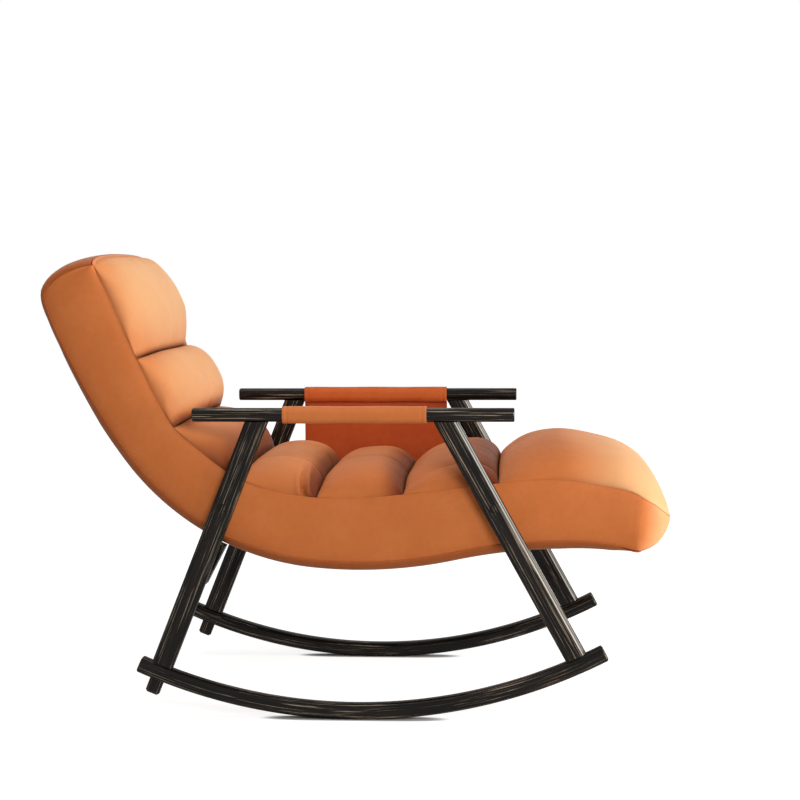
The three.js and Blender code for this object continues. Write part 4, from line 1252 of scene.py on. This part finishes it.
def makePouch():
    inset = pocketSize["pouchInset"]
    rear, front = armLeather["left"][0] + 1 + inset, armLeather["left"][1] - 1 - inset
    middle = (rear + front) / 2
    top, bottom, corner = -pocketSize["mouth"], -pocketSize["drop"] + inset, pocketSize["corner"] - inset
    near = pocketSize["thickness"] / 2 + gap
    rows, columns = pocketSize["pouchGrid"]
    over = np.linspace(-1, 1, columns)
    outer, inner = [], []
    for down in np.linspace(0, 1, rows):
        z = top + (bottom - top) * down
        cut = roundCut(corner, bottom + corner - z)
        x = middle + (front - rear - 2 * cut) / 2 * np.sign(over) * np.abs(over) ** pocketSize["pouchColumns"]
        sag = 0.86 + 0.14 * sin(min(down * 1.5, 1) * pi / 2)
        full = pocketSize["depth"] * (1 - np.abs(over) ** 5) ** 0.4 * (1 - down ** 7) ** 0.45 * sag
        heights = np.full(columns, z)
        outer.append(np.stack([x, near + np.maximum(full, 0.2), heights], axis=1))
        within = near + np.maximum(full - pocketSize["pouchWall"], 0.1)
        inner.append(np.stack([middle + (x - middle) * pocketSize["lining"], within, heights], axis=1))
    outer, inner = (toChair(np.array(layer) + pocketTop, 1) for layer in (outer, inner))
    piece = newShell("sewn_pouch", outer, inner, paintedShadePocketLeather)
    fit(piece, "pocket", "leather", "pocket_pouch")


makeSleeve("right", -1)
makeSleeve("left", 1)
makePanel()
makePouch()
print("arm leather made")


# Inside the seat

straps = {"count": 6, "width": 55, "thickness": 2, "shares": (0.14, 0.9), "half": 246, "foam": (14, 28)}


def makeStraps():
    across = np.linspace(-straps["half"], straps["half"], 70)
    for number, share in enumerate(np.linspace(*straps["shares"], straps["count"])):
        distance = share * seatLength + straps["width"] * np.linspace(-0.5, 0.5, 12)[:, None]
        low = seamHeight(distance) - np.interp(distance, [0, seatLength], straps["foam"]) + gap
        bottom, top = (seatPlace(distance, across, low + up) for up in (0, straps["thickness"]))
        piece = newShell(f"webbing_band_{number + 1}", bottom, top, webbing)
        fit(piece, "frame", "webbing", f"webbing_strap_{number + 1}")


makeStraps()
for name, node in nodes.items():
    if name.startswith(("seat_bolt", "nut_plate", "seat_spacer")):
        node.material_slots[0].material = steel
    elif "cross_rail" in name or "side_plate" in name:
        node.material_slots[0].material = innerWood
print("inside made")


# Floor, light and world

lamps = {
    "keyLight": {"place": (3.2, -0.3, 0.62), "aim": (0, 0, 0.6), "size": (1.1, 0.6), "power": 92,
                 "colour": (1, 0.98, 0.93)},
    "fillLight": {"place": (1.7, -4.5, 2.3), "aim": (0, 0, 0.45), "size": (2, 1.5), "power": 130,
                  "colour": (1, 0.985, 0.95)},
    "edgeLight": {"place": (2.9, -2.2, 1.6), "aim": (0.2, 0, 0.35), "size": (0.3, 1.6), "power": 10,
                  "colour": (1, 0.99, 0.97)},
    "topLight": {"place": (-0.8, -0.2, 3.3), "aim": (0.1, 0, 0.4), "size": (1.6, 1.4), "power": 36,
                 "colour": (1, 0.98, 0.95)},
}
studio = {
    "world": 0.12,
    "floor": (0.6, 0.6, 0.6, 1),
    "floorHalf": 9000,
    "glow": (0.8, 1),            # near the chair and farther out; less where the rockers shade it
    "shadeReach": 0.018,
}


def addLight(name, light):
    lamp = bpy.data.lights.new(name, "AREA")
    lamp.shape = "RECTANGLE"
    lamp.size, lamp.size_y = light["size"]
    lamp.energy = light["power"]
    lamp.color = light["colour"]
    place = Vector(light["place"])
    turn = (Vector(light["aim"]) - place).to_track_quat("-Z", "Y").to_matrix().to_4x4()
    addObject(name, lamp).matrix_world = Matrix.Translation(place) @ turn


def seenOutright(tree):          # 1 for rays from the camera, a mirror or glass
    path = addNode(tree, "LightPath").outputs
    return larger(tree, larger(tree, path["Is Camera Ray"], path["Is Glossy Ray"]), path["Is Transmission Ray"])


def makeWorld():
    world = bpy.data.worlds.new("studioWorld")
    world.use_nodes = True
    bpy.context.scene.world = world
    tree = world.node_tree
    feedAll(tree, tree.nodes["Background"], Color=(1, 1, 1, 1),
            Strength=ramp(tree, seenOutright(tree), 0, 1, studio["world"], 1))


def makeFloor():
    material, tree, shader = newMaterial("floorPaper")
    feedAll(tree, shader, Base_Color=studio["floor"], Roughness=0.9, Specular_IOR_Level=0)
    away = addNode(tree, "VectorMath", {"operation": "LENGTH"}, Vector=objectPlace(tree))
    level = ramp(tree, away.outputs["Value"], 1, 2.6, *studio["glow"])
    nearby = addNode(tree, "AmbientOcclusion", {"samples": 16}, Distance=studio["shadeReach"])
    level = times(tree, level, ramp(tree, nearby.outputs["AO"], 0.4, 0.85, 0, 1))
    glow = addNode(tree, "Emission", Color=(1, 1, 1, 1), Strength=times(tree, seenOutright(tree), level))
    both = addNode(tree, "AddShader")
    tree.links.new(shader.outputs["BSDF"], both.inputs[0])
    tree.links.new(glow.outputs["Emission"], both.inputs[1])
    tree.links.new(both.outputs["Shader"], tree.nodes["Material Output"].inputs["Surface"])
    half = studio["floorHalf"]
    corners = [(-half, -half, 0), (half, -half, 0), (half, half, 0), (-half, half, 0)]
    newPiece("studioFloor", corners, [(0, 1, 2, 3)], material, closed=False)


for name, light in lamps.items():
    addLight(name, light)
makeWorld()
makeFloor()
bpy.context.scene.view_settings.view_transform = "Standard"
print("studio made")
